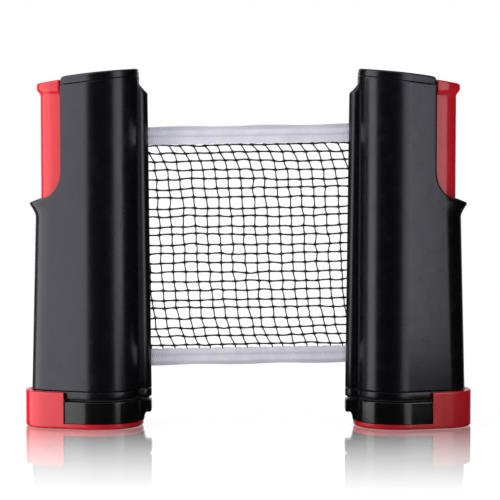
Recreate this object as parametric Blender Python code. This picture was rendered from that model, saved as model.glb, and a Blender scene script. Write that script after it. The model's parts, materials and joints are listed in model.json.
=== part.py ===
"""Retractable table tennis net with two spring clamp posts. Metres, +Z up.

The net runs along X between the posts, and -Y is the front. Each post is built in its own frame:
"out" is the distance outwards from the post's net face, so a point sits at x = side * (NET_FACE_X + out).
The left post (side -1) holds the roller that winds the net, and the right post holds the net's end bar.
"""

import math

import bmesh
import bpy

# ---- driving dimensions ---------------------------------------------------------------------------
GAP = 0.0003  # between pieces that rest on each other
BELOW, ABOVE, FAR = -0.01, 0.24, 0.04  # past the object, for cutting tools
NET_FACE_X = 0.0605  # half the opening between the two posts' net faces

# plan section of a post: a large circle and a small one joined by flats, both drafted with height
BARREL_OUT = 0.0297
DRAFT_LOW_Z = 0.025
DRAFT_HIGH_Z = 0.215
BARREL_R_LOW, BARREL_R_HIGH = 0.0229, 0.0223
TAIL_OUT_LOW, TAIL_OUT_HIGH = 0.0606, 0.0540
TAIL_R_LOW, TAIL_R_HIGH = 0.0146, 0.0160
POST_LEAN, BLOCK_LEAN, FOOT_LEAN = math.radians(18), math.radians(15), math.radians(14)
FACE_TURN = math.radians(19)  # where the barrel's circle gives way to the flatter arc
BARREL_STEPS, FACE_STEPS, TAIL_STEPS, CHAMBER_STEPS, BORE_STEPS = 16, 4, 14, 40, 16
ROLLER_STEPS, ROLL_STEPS, BUSH_STEPS = 24, 32, 20

# heights
PLATE_TOP = 0.0034
BLOCK_TOP = 0.0170
UPPER_PAD_BOTTOM, UPPER_PAD_TOP = 0.0173, 0.0182
UPPER_PAD_INSET, UPPER_PAD_OUTER = 0.0013, 0.0528
COVER_BOTTOM, COVER_TOP = 0.0185, 0.0232
SHELL_BOTTOM = COVER_TOP + GAP
COLLAR_TOP = 0.0228
LEDGE_TIP_Z = 0.1396
NOTCH_TOP_Z = 0.1600
SEAM_Z, SEAM_OUT, SEAM_SLOPE = 0.2184, 0.0085, 0.1237  # the sloping joint under the cap
CAP_THICK = 0.0044
CAP_ROUND, CAP_DRAFT = 0.0012, 0.0005

# net outlet, roller and clamp column
FIN_NOSE_R, FIN_NOSE_Y = 0.0060, 0.0003  # radius of each lip, and how far its centre is from the middle
FIN_SIDE_LEAN = math.radians(15)
FIN_END_LOW, FIN_END_HIGH = 0.0002, 0.0022
FIN_TOP_END_Z = 0.2078
FIN_CREST_OUT, FIN_CREST_Z = 0.0080, 0.2122
FIN_ROOT_OUT = 0.0145
SLOT_HALF_WIDTH = 0.00125
SLOT_BOTTOM, SLOT_TOP = 0.032, 0.191
ROLL_CHAMBER_R = 0.0190
COLUMN_OUT, COLUMN_R, COLUMN_INNER = 0.0592, 0.0096, 0.0543
CUT_OUT = 0.0555  # above the notch the shells stop here and leave the red column bare
NOTCH_WIDE, NOTCH_DEEP, NOTCH_STEPS = 0.0138, 0.0175, 8
COLUMN_CLEARANCE = 0.0004
HEAD_R, HEAD_INNER = 0.0120, 0.0559
HEAD_TOP_Z, HEAD_SLOPE = 0.2162, 0.17

# the closing spring stands on a shelf of the shells, inside a channel in the column
SPRING_OUT = 0.0599
SHELF_OUT, SHELF_HALF_WIDTH = 0.0634, 0.0036
SHELF_BOTTOM, SHELF_TOP = 0.0700, 0.0730
CHANNEL_OUT, CHANNEL_HALF_WIDTH = 0.0648, 0.0042
CHANNEL_BOTTOM, CHANNEL_TOP = 0.0690, 0.1500
CLAMP_WIRE_R, CLAMP_COIL_R, CLAMP_TURNS = 0.00035, 0.0029, 12

# foot
FOOT_BARREL_R, FOOT_TAIL_OUT, FOOT_TAIL_R = 0.0244, 0.0606, 0.0186
HEEL_OUT = 0.0540
HEEL_TOP = 0.0169
COLLAR_CLEARANCE = 0.0005
BLOCK_BARREL_R, BLOCK_TAIL_R = 0.0236, 0.0172
BLOCK_OUTER = 0.0535
BLOCK_BEVEL = 0.0005
NOSE_BOTTOM, NOSE_ROOT_OUT, NOSE_HALF_WIDTH, NOSE_CHAMFER = 0.0087, 0.0100, 0.0055, 0.0011

# net
NET_BOTTOM, NET_TOP = 0.0373, 0.1890
NET_SKEW = 0.0012  # how far the net's left end hangs below, and its right end above, its middle
TOP_TAPE_LOW, BOTTOM_TAPE_HIGH = 0.1766, 0.0489
STRING_THICK, TAPE_THICK = 0.0008, 0.0012
NET_END_OUT = 0.0110
END_BAR_R = 0.0022

# roller, from its tube to the bushes that hold its axle in the cap and the cover
ROLL_R = 0.0175
TUBE_INNER_R, TUBE_R = 0.0048, 0.0062
TUBE_LOW, TUBE_HIGH = 0.0330, 0.1910
PLUG_BORE_R, PLUG_R, FLANGE_R = 0.0019, 0.0045, 0.0070
AXLE_R, BUSH_R = 0.0015, 0.0037
PLUG_FLANGE_H, PLUG_BOSS_H = 0.0027, 0.0080
BOTTOM_BUSH_LOW, BOTTOM_BUSH_H = 0.0215, 0.0075
TOP_BUSH_HIGH, TOP_BUSH_H = 0.2117, 0.0107
COVER_SPIGOT_BOTTOM, COVER_SPIGOT_TOP = 0.0200, 0.0262
CAP_SPIGOT_BOTTOM, CAP_SPIGOT_TOP = 0.2070, 0.2176
RETRACT_LOW, RETRACT_HIGH = 0.0460, 0.0847
RETRACT_WIRE_R, RETRACT_COIL_R, RETRACT_TURNS = 0.00045, 0.0032, 14
SPRING_COLLAR_R, SPRING_COLLAR_H = 0.0042, 0.0050

SHELL_SCREWS = (  # out, height, head seat, shank tip
    (0.0513, 0.048, 0.0105, -0.0085),
    (0.0513, 0.185, 0.0105, -0.0085),
    (0.0060, 0.1995, 0.0042, -0.0046),
    (0.0060, 0.0277, 0.0042, -0.0046),
)
FOOT_SCREWS = ((0.0605, 0.0052), (0.0605, -0.0052), (0.0200, 0.0), (0.0440, 0.0))  # out, y
SCREW_HEAD_R, SCREW_HEAD_H, SCREW_SHANK_R = 0.0026, 0.0014, 0.00105
SCREW_BORE_R, SCREW_SINK_R = 0.00140, 0.00295
SCREW_STEPS = 12
FOOT_SCREW_LOW, FOOT_SCREW_TIP = 0.0005, 0.0132


# ---- scene and materials --------------------------------------------------------------------------
def clear_scene():
    for obj in list(bpy.data.objects):
        bpy.data.objects.remove(obj)


def material(name, colour, roughness, metallic=0.0):
    made = bpy.data.materials.new(name)
    made.use_nodes = True
    shader = made.node_tree.nodes["Principled BSDF"]
    shader.inputs["Base Color"].default_value = (*colour, 1.0)
    shader.inputs["Roughness"].default_value = roughness
    shader.inputs["Metallic"].default_value = metallic
    return made


clear_scene()
BLACK = material("satin_black_abs", (0.018, 0.018, 0.020), 0.38)
RED = material("red_abs", (0.62, 0.012, 0.022), 0.34)
RUBBER = material("black_rubber", (0.014, 0.014, 0.015), 0.75)
STEEL = material("zinc_steel", (0.62, 0.62, 0.60), 0.30, 1.0)
NYLON = material("white_nylon", (0.78, 0.77, 0.72), 0.45)
MESH = material("net_string", (0.012, 0.012, 0.014), 0.80)
TAPE = material("net_tape", (0.66, 0.66, 0.80), 0.85)


# ---- mesh helpers ---------------------------------------------------------------------------------
def empty(name, location, parent=None):
    made = bpy.data.objects.new(name, None)
    made.location = location
    made.parent = parent
    bpy.context.scene.collection.objects.link(made)
    return made


def finish_mesh(name, bm, skin, parent):
    """Turns a closed bmesh into an object with its faces pointing out."""
    bmesh.ops.recalc_face_normals(bm, faces=bm.faces)
    mesh = bpy.data.meshes.new(name)
    bm.to_mesh(mesh)
    bm.free()
    mesh.shade_smooth()
    mesh.set_sharp_from_angle(angle=math.radians(32))
    made = bpy.data.objects.new(name, mesh)
    made.parent = parent
    if skin is not None:
        made.data.materials.append(skin)
    bpy.context.scene.collection.objects.link(made)
    return made


def loft(rings):
    """A closed bmesh through rings of (x, y, z) points that all have the same count."""
    bm = bmesh.new()
    loops = [[bm.verts.new(point) for point in ring] for ring in rings]
    for low, high in zip(loops, loops[1:]):
        for k in range(len(low)):
            after = (k + 1) % len(low)
            bm.faces.new((low[k], low[after], high[after], high[k]))
    bm.faces.new(loops[0][::-1])
    bm.faces.new(loops[-1])
    return bm


def prism(outline, low, high):
    """An outline of (x, y) points raised between two heights."""
    return loft([[(x, y, z) for x, y in outline] for z in (low, high)])


def box(x0, x1, y0, y1, z0, z1):
    return prism([(x0, y0), (x1, y0), (x1, y1), (x0, y1)], z0, z1)


def turned(profile, steps, centre=(0.0, 0.0)):
    """A solid of revolution about Z from (radius, z) points; a profile that starts off the axis is a ring."""
    bm = bmesh.new()
    rings = []
    for radius, z in profile:
        around = range(steps if radius > 0 else 1)
        angles = [math.tau * k / steps for k in around]
        points = [(centre[0] + radius * math.cos(a), centre[1] + radius * math.sin(a), z) for a in angles]
        rings.append([bm.verts.new(point) for point in points])
    is_ring = profile[0][0] > 0
    uppers = rings[1:] + rings[:1] if is_ring else rings[1:]
    for low, high in zip(rings, uppers):
        for k in range(steps):
            after = (k + 1) % steps
            corners = (low[k % len(low)], low[after % len(low)], high[after % len(high)], high[k % len(high)])
            bm.faces.new(dict.fromkeys(corners))
    return bm


def cylinder(radius, low, high, steps, centre=(0.0, 0.0)):
    return turned([(0, low), (radius, low), (radius, high), (0, high)], steps, centre)


def sleeve(inner, outer, low, high, steps, centre=(0.0, 0.0)):
    return turned([(inner, low), (outer, low), (outer, high), (inner, high)], steps, centre)


def stepped_bore(wide_r, seat, narrow_r, start, end):
    """The profile of a hole that is wide from start to its seat and narrow from there to end."""
    return [(0, start), (wide_r, start), (wide_r, seat), (narrow_r, seat), (narrow_r, end), (0, end)]


def spring_mesh(centre_x, low, high, turns, mean_r, wire_r, per_turn=8, sides=4):
    """A closed round-wire helix about a vertical axis, with its wire centre between low and high."""
    bm = bmesh.new()
    count = turns * per_turn
    rings = []
    for k in range(count + 1):
        angle = math.tau * k / per_turn
        z = low + wire_r + (high - low - 2 * wire_r) * k / count
        ring = []
        for j in range(sides):
            turn = math.tau * j / sides
            radius = mean_r + wire_r * math.cos(turn)
            x, y = centre_x + radius * math.cos(angle), radius * math.sin(angle)
            ring.append(bm.verts.new((x, y, z + wire_r * math.sin(turn))))
        rings.append(ring)
    for first, second in zip(rings, rings[1:]):
        for j in range(sides):
            after = (j + 1) % sides
            bm.faces.new((first[j], first[after], second[after], second[j]))
    bm.faces.new(rings[0][::-1])
    bm.faces.new(rings[-1])
    return bm


def boolean(target, operation, tool_bm):
    """Adds a Boolean with a hidden tool in the target's own frame."""
    tool = finish_mesh(f"{target.name}_tool_{len(target.modifiers)}", tool_bm, None, target.parent)
    tool.hide_render = True
    tool.display_type = "WIRE"
    step = target.modifiers.new(f"{operation.lower()}_{len(target.modifiers)}", "BOOLEAN")
    step.operation = operation
    step.solver = "EXACT"
    step.object = tool


def lying(bm, out, z):
    """Turns a solid made about Z so that its axis runs along Y through (out, z)."""
    for vert in bm.verts:
        x, y, along = vert.co
        vert.co = (x + out, along, z - y)
    return bm


# ---- post sections --------------------------------------------------------------------------------
def between(low, high, z):
    return low + (high - low) * (z - DRAFT_LOW_Z) / (DRAFT_HIGH_Z - DRAFT_LOW_Z)


def arc(centre_out, centre_y, radius, start, end, steps):
    turns = [start + (end - start) * k / steps for k in range(steps + 1)]
    return [(centre_out + radius * math.cos(t), centre_y + radius * math.sin(t)) for t in turns]


def teardrop(barrel_r, tail_out, tail_r, lean, flare=0.0):
    """Outline points (out, y) round the tail and the barrel; flare pushes the tail's end outwards.

    The barrel is a circle at the net's side and a flatter arc on the front and the back, up to the flat that
    runs to the tail at the given lean. The arc's extra radius is what makes all of them meet tangentially.
    """
    extra = (tail_out - BARREL_OUT) * math.sin(lean) - (barrel_r - tail_r)
    extra /= 1 - math.cos(FACE_TURN + lean)
    face_out, face_y = BARREL_OUT + extra * math.sin(FACE_TURN), extra * math.cos(FACE_TURN)
    reach, join = math.pi / 2 - lean, math.pi / 2 + FACE_TURN
    points = []
    for k in range(TAIL_STEPS + 1):
        angle = -reach + 2 * reach * k / TAIL_STEPS
        radius = tail_r + flare * math.cos(angle * math.pi / 2 / reach) ** 2
        points.append((tail_out + radius * math.cos(angle), radius * math.sin(angle)))
    points += arc(face_out, -face_y, barrel_r + extra, reach, join, FACE_STEPS)[:-1]
    points += arc(BARREL_OUT, 0, barrel_r, join, math.tau - join, BARREL_STEPS)
    points += arc(face_out, face_y, barrel_r + extra, math.tau - join, math.tau - reach, FACE_STEPS)[1:]
    return points


def post_outline(z, grow=0.0, flare=0.0):
    barrel_r = between(BARREL_R_LOW, BARREL_R_HIGH, z) + grow
    tail_r = between(TAIL_R_LOW, TAIL_R_HIGH, z) + grow
    return teardrop(barrel_r, between(TAIL_OUT_LOW, TAIL_OUT_HIGH, z), tail_r, POST_LEAN, flare)


def fin_outline(end):
    """Outline points (out, y) of the net outlet: two rounded lips, and sides that spread to the root."""
    turns = [FIN_SIDE_LEAN + (math.pi / 2 - FIN_SIDE_LEAN) * k / 3 for k in range(4)]
    upper = [(end + FIN_NOSE_R * (1 - math.sin(t)), FIN_NOSE_Y + FIN_NOSE_R * math.cos(t)) for t in turns]
    root = upper[0][1] + (FIN_ROOT_OUT - upper[0][0]) * math.tan(FIN_SIDE_LEAN)
    upper.insert(0, (FIN_ROOT_OUT, root))
    return upper + [(x, -y) for x, y in upper[::-1]]


def column_outline(radius, inner):
    """A circle about the column's centre, cut flat on its inner side."""
    reach = math.acos((inner - COLUMN_OUT) / radius)
    steps = TAIL_STEPS
    angles = [-reach + 2 * reach * k / steps for k in range(steps + 1)]
    return [(COLUMN_OUT + radius * math.cos(a), radius * math.sin(a)) for a in angles]


def seam(out):
    return SEAM_Z - (out - SEAM_OUT) * SEAM_SLOPE


def bush_pocket(low, high):
    return cylinder(BUSH_R + GAP, low, high, ROLLER_STEPS, (BARREL_OUT, 0))


def screw_hole(place):
    return cylinder(SCREW_BORE_R, BELOW, FOOT_SCREW_TIP + GAP, BORE_STEPS, place)


class Post:
    """Builds one post's pieces; side is -1 for the left post and 1 for the right."""

    def __init__(self, name, side):
        self.name = name
        self.side = side
        self.body = empty(f"{name}_post", (side * NET_FACE_X, 0, 0))
        self.clamp = empty(f"{name}_clamp", (side * COLUMN_OUT, 0, 0), self.body)

    def turned_to_side(self, bm, parent):
        """Moves a bmesh from (out, y, z) to the parent's own frame."""
        shift = COLUMN_OUT if parent is self.clamp else 0.0
        for vert in bm.verts:
            vert.co.x = self.side * (vert.co.x - shift)
        return bm

    def piece(self, name, bm, skin, parent):
        return finish_mesh(f"{self.name}_{name}", self.turned_to_side(bm, parent), skin, parent)

    def apply(self, target, operation, bm):
        boolean(target, operation, self.turned_to_side(bm, target.parent))

    # -- black casing --
    def shell_blank(self):
        flares = (  # height, how far the finger ledge stands out there
            (SHELL_BOTTOM, 0.0),
            (0.1310, 0.0),
            (0.1342, 0.0010),
            (0.1364, 0.0024),
            (0.1382, 0.0040),
            (LEDGE_TIP_Z, 0.0047),
            (0.1408, 0.0047),
            (0.1436, 0.0),
        )
        rings = [[(x, y, z) for x, y in post_outline(z, flare=flare)] for z, flare in flares]
        top = post_outline(DRAFT_HIGH_Z)
        rings.append([(x, y, seam(x)) for x, y in top])
        return loft(rings)

    def fin(self, low):
        """The net outlet that stands out of the barrel, with a sloping top."""
        slope = (FIN_CREST_Z - FIN_TOP_END_Z) / (FIN_CREST_OUT - FIN_END_HIGH)
        top = [
            (x, y, min(FIN_CREST_Z, FIN_TOP_END_Z + slope * (x - FIN_END_HIGH)))
            for x, y in fin_outline(FIN_END_HIGH)
        ]
        return loft([[(x, y, low) for x, y in fin_outline(FIN_END_LOW)], top])

    def notch(self):
        """Everything outside the thumb notch: a curved cut down to the finger ledge."""
        centre = CUT_OUT + NOTCH_WIDE
        turns = [math.pi / 2 * k / NOTCH_STEPS for k in range(NOTCH_STEPS + 1)]
        arc = [(centre - NOTCH_WIDE * math.cos(t), NOTCH_TOP_Z - NOTCH_DEEP * math.sin(t)) for t in turns]
        lip_z = LEDGE_TIP_Z - 0.0006
        points = [(CUT_OUT, ABOVE), *arc, (0.0780, lip_z), (0.0900, lip_z), (0.0900, ABOVE)]
        return loft([[(x, y, z) for x, z in points] for y in (-0.03, 0.03)])

    def column_way(self):
        """The space that the clamp column slides in."""
        way = column_outline(COLUMN_R + COLUMN_CLEARANCE, COLUMN_INNER - COLUMN_CLEARANCE)
        return prism(way, BELOW, ABOVE)

    def shell(self, name, facing):
        """Half of the casing: facing is -1 for the front half and 1 for the rear."""
        made = self.piece(name, self.shell_blank(), BLACK, self.body)
        self.apply(made, "UNION", self.fin(SHELL_BOTTOM))
        self.apply(made, "DIFFERENCE", self.notch())
        chamber = cylinder(ROLL_CHAMBER_R, BELOW, ABOVE, CHAMBER_STEPS, (BARREL_OUT, 0))
        self.apply(made, "DIFFERENCE", chamber)
        self.apply(made, "DIFFERENCE", self.column_way())
        slot = box(-FIN_ROOT_OUT, FIN_ROOT_OUT, -SLOT_HALF_WIDTH, SLOT_HALF_WIDTH, SLOT_BOTTOM, SLOT_TOP)
        self.apply(made, "DIFFERENCE", slot)
        near, far = sorted((facing * GAP / 2, facing * FAR))
        self.apply(made, "INTERSECT", box(-FAR, 3 * FAR, near, far, BELOW, ABOVE))
        low, high = sorted((facing * GAP / 2, facing * SHELF_HALF_WIDTH))
        self.apply(made, "UNION", box(COLUMN_INNER - 0.0020, SHELF_OUT, low, high, SHELF_BOTTOM, SHELF_TOP))
        for out, z, seat, tip in SHELL_SCREWS:
            bore = stepped_bore(SCREW_SINK_R, seat - GAP, SCREW_BORE_R, FAR, tip - GAP)
            self.apply(made, "DIFFERENCE", lying(turned(bore, BORE_STEPS), out, z))
        return made

    def spigot(self, low, high):
        """The round boss with which a cap or cover locates inside the barrel."""
        return cylinder(ROLL_CHAMBER_R - COLUMN_CLEARANCE, low, high, CHAMBER_STEPS, (BARREL_OUT, 0))

    def top_cap(self):
        def ring(inset, lift):
            outline = post_outline(DRAFT_HIGH_Z, grow=-inset)
            clipped = [(min(x, CUT_OUT - inset), y) for x, y in outline]
            return [(x, y, seam(x) + GAP + lift) for x, y in clipped]

        chamfer = 0.3 * CAP_ROUND
        levels = (  # inset, height above the seam
            (0.0, 0.0),
            (CAP_DRAFT, CAP_THICK - CAP_ROUND),
            (CAP_DRAFT + chamfer, CAP_THICK - chamfer),
            (CAP_DRAFT + CAP_ROUND, CAP_THICK),
        )
        made = self.piece("top_cap", clip_loft([ring(*level) for level in levels]), BLACK, self.body)
        self.apply(made, "UNION", self.spigot(CAP_SPIGOT_BOTTOM, CAP_SPIGOT_TOP))
        if self.side < 0:
            self.apply(made, "DIFFERENCE", bush_pocket(CAP_SPIGOT_BOTTOM - 0.01, TOP_BUSH_HIGH + GAP))
        return made

    def bottom_cover(self):
        rings = [[(x, y, z) for x, y in post_outline(z)] for z in (COVER_BOTTOM, COVER_TOP)]
        made = self.piece("bottom_cover", loft(rings), BLACK, self.body)
        foot_of_fin = loft([[(x, y, z) for x, y in fin_outline(FIN_END_LOW)] for z in (COVER_BOTTOM, COVER_TOP)])
        self.apply(made, "UNION", foot_of_fin)
        self.apply(made, "DIFFERENCE", self.column_way())
        self.apply(made, "UNION", self.spigot(COVER_SPIGOT_BOTTOM, COVER_SPIGOT_TOP))
        if self.side < 0:
            self.apply(made, "DIFFERENCE", bush_pocket(BOTTOM_BUSH_LOW - GAP, COVER_SPIGOT_TOP + 0.01))
        return made

    def upper_jaw_pad(self):
        outline = post_outline(UPPER_PAD_TOP, grow=-UPPER_PAD_INSET)
        clipped = [(min(x, UPPER_PAD_OUTER), y) for x, y in outline]
        rings = [[(x, y, z) for x, y in clipped] for z in (UPPER_PAD_BOTTOM, UPPER_PAD_TOP)]
        return self.piece("upper_jaw_pad", clip_loft(rings), RUBBER, self.body)

    def shell_screw(self, number, out, z, seat, tip):
        """A pan-head screw along Y with its head in the rear shell."""
        profile = [
            (0, tip),
            (0.4 * SCREW_SHANK_R, tip),
            (SCREW_SHANK_R, tip + 0.0014),
            (SCREW_SHANK_R, seat),
            (SCREW_HEAD_R, seat),
            (SCREW_HEAD_R, seat + 0.6 * SCREW_HEAD_H),
            (0.7 * SCREW_HEAD_R, seat + SCREW_HEAD_H),
            (0, seat + SCREW_HEAD_H),
        ]
        screw = lying(turned(profile, SCREW_STEPS), out, z)
        return self.piece(f"shell_screw_{number}", screw, STEEL, self.body)

    # -- red clamp --
    def clamp_foot(self):
        edge = (  # height, how far the wall stands in there
            (0.0, 0.0016),
            (0.0005, 0.0007),
            (0.0016, 0.0),
            (COLLAR_TOP - 0.0006, 0.0),
            (COLLAR_TOP, 0.0006),
        )
        rings = []
        for z, inset in edge:
            outline = teardrop(FOOT_BARREL_R - inset, FOOT_TAIL_OUT, FOOT_TAIL_R - inset, FOOT_LEAN)
            rings.append([(x, y, z) for x, y in outline])
        made = self.piece("clamp_foot", loft(rings), RED, self.clamp)
        self.apply(made, "DIFFERENCE", box(-FAR, HEEL_OUT, -FAR, FAR, PLATE_TOP, FAR))
        barrel_r, tail_r = BARREL_R_LOW + COLLAR_CLEARANCE, TAIL_R_LOW + COLLAR_CLEARANCE
        hollow = teardrop(barrel_r, TAIL_OUT_LOW, tail_r, POST_LEAN)
        self.apply(made, "DIFFERENCE", prism(hollow, HEEL_TOP, FAR))
        pocket = column_outline(COLUMN_R + GAP, HEEL_OUT - 0.0009)
        self.apply(made, "DIFFERENCE", prism(pocket, PLATE_TOP, FAR))
        seat = FOOT_SCREW_LOW + SCREW_HEAD_H + GAP
        for place in FOOT_SCREWS:
            bore = stepped_bore(SCREW_SINK_R, seat, SCREW_BORE_R, BELOW, 2 * PLATE_TOP)
            self.apply(made, "DIFFERENCE", turned(bore, BORE_STEPS, place))
        return made

    def clamp_column(self):
        def head_top(out):
            return HEAD_TOP_Z - (out - HEAD_INNER) * HEAD_SLOPE

        levels = (  # radius, inner flat, height
            (COLUMN_R, COLUMN_INNER, PLATE_TOP + GAP),
            (COLUMN_R, COLUMN_INNER, 0.2062),
            (COLUMN_R + 0.0003, HEAD_INNER, 0.2072),
            (0.0108, HEAD_INNER, 0.2088),
            (HEAD_R, HEAD_INNER, 0.2104),
        )
        rings = [[(x, y, z) for x, y in column_outline(radius, inner)] for radius, inner, z in levels]
        for inset, drop in ((0.0, 0.0014), (0.0004, 0.0005), (0.0014, 0.0)):
            outline = column_outline(HEAD_R - inset, HEAD_INNER + 0.3 * inset)
            rings.append([(x, y, head_top(x) - drop) for x, y in outline])
        made = self.piece("clamp_column", loft(rings), RED, self.clamp)
        channel = box(0.05, CHANNEL_OUT, -CHANNEL_HALF_WIDTH, CHANNEL_HALF_WIDTH, CHANNEL_BOTTOM, CHANNEL_TOP)
        self.apply(made, "DIFFERENCE", channel)
        for place in FOOT_SCREWS[:2]:
            self.apply(made, "DIFFERENCE", screw_hole(place))
        return made

    def jaw_block(self):
        rings = []
        for z, inset in ((PLATE_TOP + GAP, 0.0), (BLOCK_TOP - BLOCK_BEVEL, 0.0), (BLOCK_TOP, BLOCK_BEVEL)):
            outline = teardrop(BLOCK_BARREL_R - inset, FOOT_TAIL_OUT, BLOCK_TAIL_R - inset, BLOCK_LEAN)
            rings.append([(min(x, BLOCK_OUTER - inset), y, z) for x, y in outline])
        made = self.piece("jaw_block", clip_loft(rings), RUBBER, self.clamp)
        self.apply(made, "UNION", self.nose())
        for place in FOOT_SCREWS[2:]:
            self.apply(made, "DIFFERENCE", screw_hole(place))
        return made

    def nose(self):
        """The small tongue at the block's net end, with its corners chamfered."""
        low, high, end, root = NOSE_BOTTOM, BLOCK_TOP - 0.0002, FIN_END_LOW, NOSE_ROOT_OUT
        cut = NOSE_CHAMFER
        under = [(end, low + cut), (end + cut, low), (root, low)]
        over = [(root, high), (end + cut, high), (end, high - cut)]
        return loft([[(x, y, z) for x, z in under + over] for y in (-NOSE_HALF_WIDTH, NOSE_HALF_WIDTH)])

    def foot_screw(self, number, out, y):
        """A flat-head screw that comes up through the foot plate."""
        under_head = FOOT_SCREW_LOW + SCREW_HEAD_H
        profile = [
            (0, FOOT_SCREW_LOW),
            (SCREW_HEAD_R, FOOT_SCREW_LOW),
            (SCREW_HEAD_R, under_head),
            (SCREW_SHANK_R, under_head),
            (SCREW_SHANK_R, FOOT_SCREW_TIP - 0.0012),
            (0.4 * SCREW_SHANK_R, FOOT_SCREW_TIP),
            (0, FOOT_SCREW_TIP),
        ]
        return self.piece(f"foot_screw_{number}", turned(profile, SCREW_STEPS, (out, y)), STEEL, self.clamp)

    def clamp_spring(self):
        low, high = SHELF_TOP + GAP, CHANNEL_TOP - GAP
        coil = spring_mesh(SPRING_OUT, low, high, CLAMP_TURNS, CLAMP_COIL_R, CLAMP_WIRE_R)
        return self.piece("clamp_spring", coil, STEEL, self.body)

    def build(self):
        self.shell("front_shell", -1)
        self.shell("rear_shell", 1)
        self.top_cap()
        self.bottom_cover()
        self.upper_jaw_pad()
        for number, place in enumerate(SHELL_SCREWS, 1):
            self.shell_screw(number, *place)
        self.clamp_foot()
        self.clamp_column()
        self.jaw_block()
        self.clamp_spring()
        for number, place in enumerate(FOOT_SCREWS, 1):
            self.foot_screw(number, *place)


def clip_loft(rings):
    """A loft whose outlines were clipped to a flat: points that fell together on it are merged."""
    bm = loft(rings)
    bmesh.ops.remove_doubles(bm, verts=bm.verts, dist=1e-6)
    return bm


# ---- roller in the left post ----------------------------------------------------------------------
def build_roller(post):
    centre = (post.side * BARREL_OUT, 0)
    roller = empty("roller", (*centre, 0), post.body)

    def plug(name, flange_low, flange_high, boss_low, boss_high):
        """A flanged nylon plug that carries one end of the tube on the axle."""
        if boss_low < flange_low:
            profile = [(PLUG_BORE_R, boss_low), (PLUG_R, boss_low), (PLUG_R, flange_low)]
            profile += [(FLANGE_R, flange_low), (FLANGE_R, flange_high), (PLUG_BORE_R, flange_high)]
        else:
            profile = [(PLUG_BORE_R, flange_low), (FLANGE_R, flange_low), (FLANGE_R, flange_high)]
            profile += [(PLUG_R, flange_high), (PLUG_R, boss_high), (PLUG_BORE_R, boss_high)]
        finish_mesh(name, turned(profile, ROLLER_STEPS), NYLON, roller)

    tube = sleeve(TUBE_INNER_R, TUBE_R, TUBE_LOW, TUBE_HIGH, ROLLER_STEPS)
    finish_mesh("roller_tube", tube, STEEL, roller)
    low, high = TUBE_LOW - GAP, TUBE_HIGH + GAP
    plug("roller_bottom_plug", low - PLUG_FLANGE_H, low, low, TUBE_LOW + PLUG_BOSS_H)
    plug("roller_top_plug", high, high + PLUG_FLANGE_H, TUBE_HIGH - PLUG_BOSS_H, high)
    roll = sleeve(TUBE_R + 0.0004, ROLL_R, NET_BOTTOM + NET_SKEW, NET_TOP - NET_SKEW, ROLL_STEPS)
    finish_mesh("net_roll", roll, TAPE, roller)

    axle = cylinder(AXLE_R, BOTTOM_BUSH_LOW + GAP, TOP_BUSH_HIGH - 0.0005, BORE_STEPS, centre)
    finish_mesh("roller_axle", axle, STEEL, post.body)
    fixed = (  # name, outer radius, low end, height, material
        ("bottom_bush", BUSH_R, BOTTOM_BUSH_LOW, BOTTOM_BUSH_H, NYLON),
        ("top_bush", BUSH_R, TOP_BUSH_HIGH - TOP_BUSH_H, TOP_BUSH_H, NYLON),
        ("spring_collar", SPRING_COLLAR_R, RETRACT_HIGH + GAP, SPRING_COLLAR_H, STEEL),
    )
    for name, outer, low, tall, skin in fixed:
        bush = sleeve(AXLE_R + GAP, outer, low, low + tall, BUSH_STEPS, centre)
        finish_mesh(name, bush, skin, post.body)
    spring_ends = RETRACT_LOW, RETRACT_HIGH
    coil = spring_mesh(centre[0], *spring_ends, RETRACT_TURNS, RETRACT_COIL_R, RETRACT_WIRE_R)
    finish_mesh("retract_spring", coil, STEEL, post.body)


# ---- net ------------------------------------------------------------------------------------------
def build_net(right_post):
    reach = NET_FACE_X + NET_END_OUT
    half_string, half_tape = STRING_THICK / 2, TAPE_THICK / 2
    shift = right_post.body.location.x

    def strip(name, half, low, high, skin):
        bm = box(-reach - shift, reach - shift, -half, half, low, high)
        return finish_mesh(name, bm, skin, right_post.body)

    strip("net_mesh", half_string, BOTTOM_TAPE_HIGH + GAP, TOP_TAPE_LOW - GAP, MESH)
    strip("net_top_tape", half_tape, TOP_TAPE_LOW, NET_TOP, TAPE)
    strip("net_bottom_tape", half_tape, NET_BOTTOM, BOTTOM_TAPE_HIGH, TAPE)
    place = (NET_END_OUT + GAP + END_BAR_R, 0)
    bar = cylinder(END_BAR_R, COVER_SPIGOT_TOP + GAP, CAP_SPIGOT_BOTTOM - GAP, BORE_STEPS, place)
    finish_mesh("net_end_bar", bar, STEEL, right_post.body)


left = Post("left", -1)
left.build()
build_roller(left)
right = Post("right", 1)
right.build()
build_net(right)
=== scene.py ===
"""Looks of the retractable table tennis net with its two clamp posts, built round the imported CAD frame.

Metres, +Z up, the CAD's own frame: the net runs along X and -Y is the front. Each post is made in its own
coordinates (out, y, z), where "out" is the distance outwards from the post's net face, so that the left and
the right post share every shape: a point sits at x = side * (face + out).
"""

import json
import math

import bmesh
import bpy
import numpy as np
from mathutils import Matrix, Vector

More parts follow.
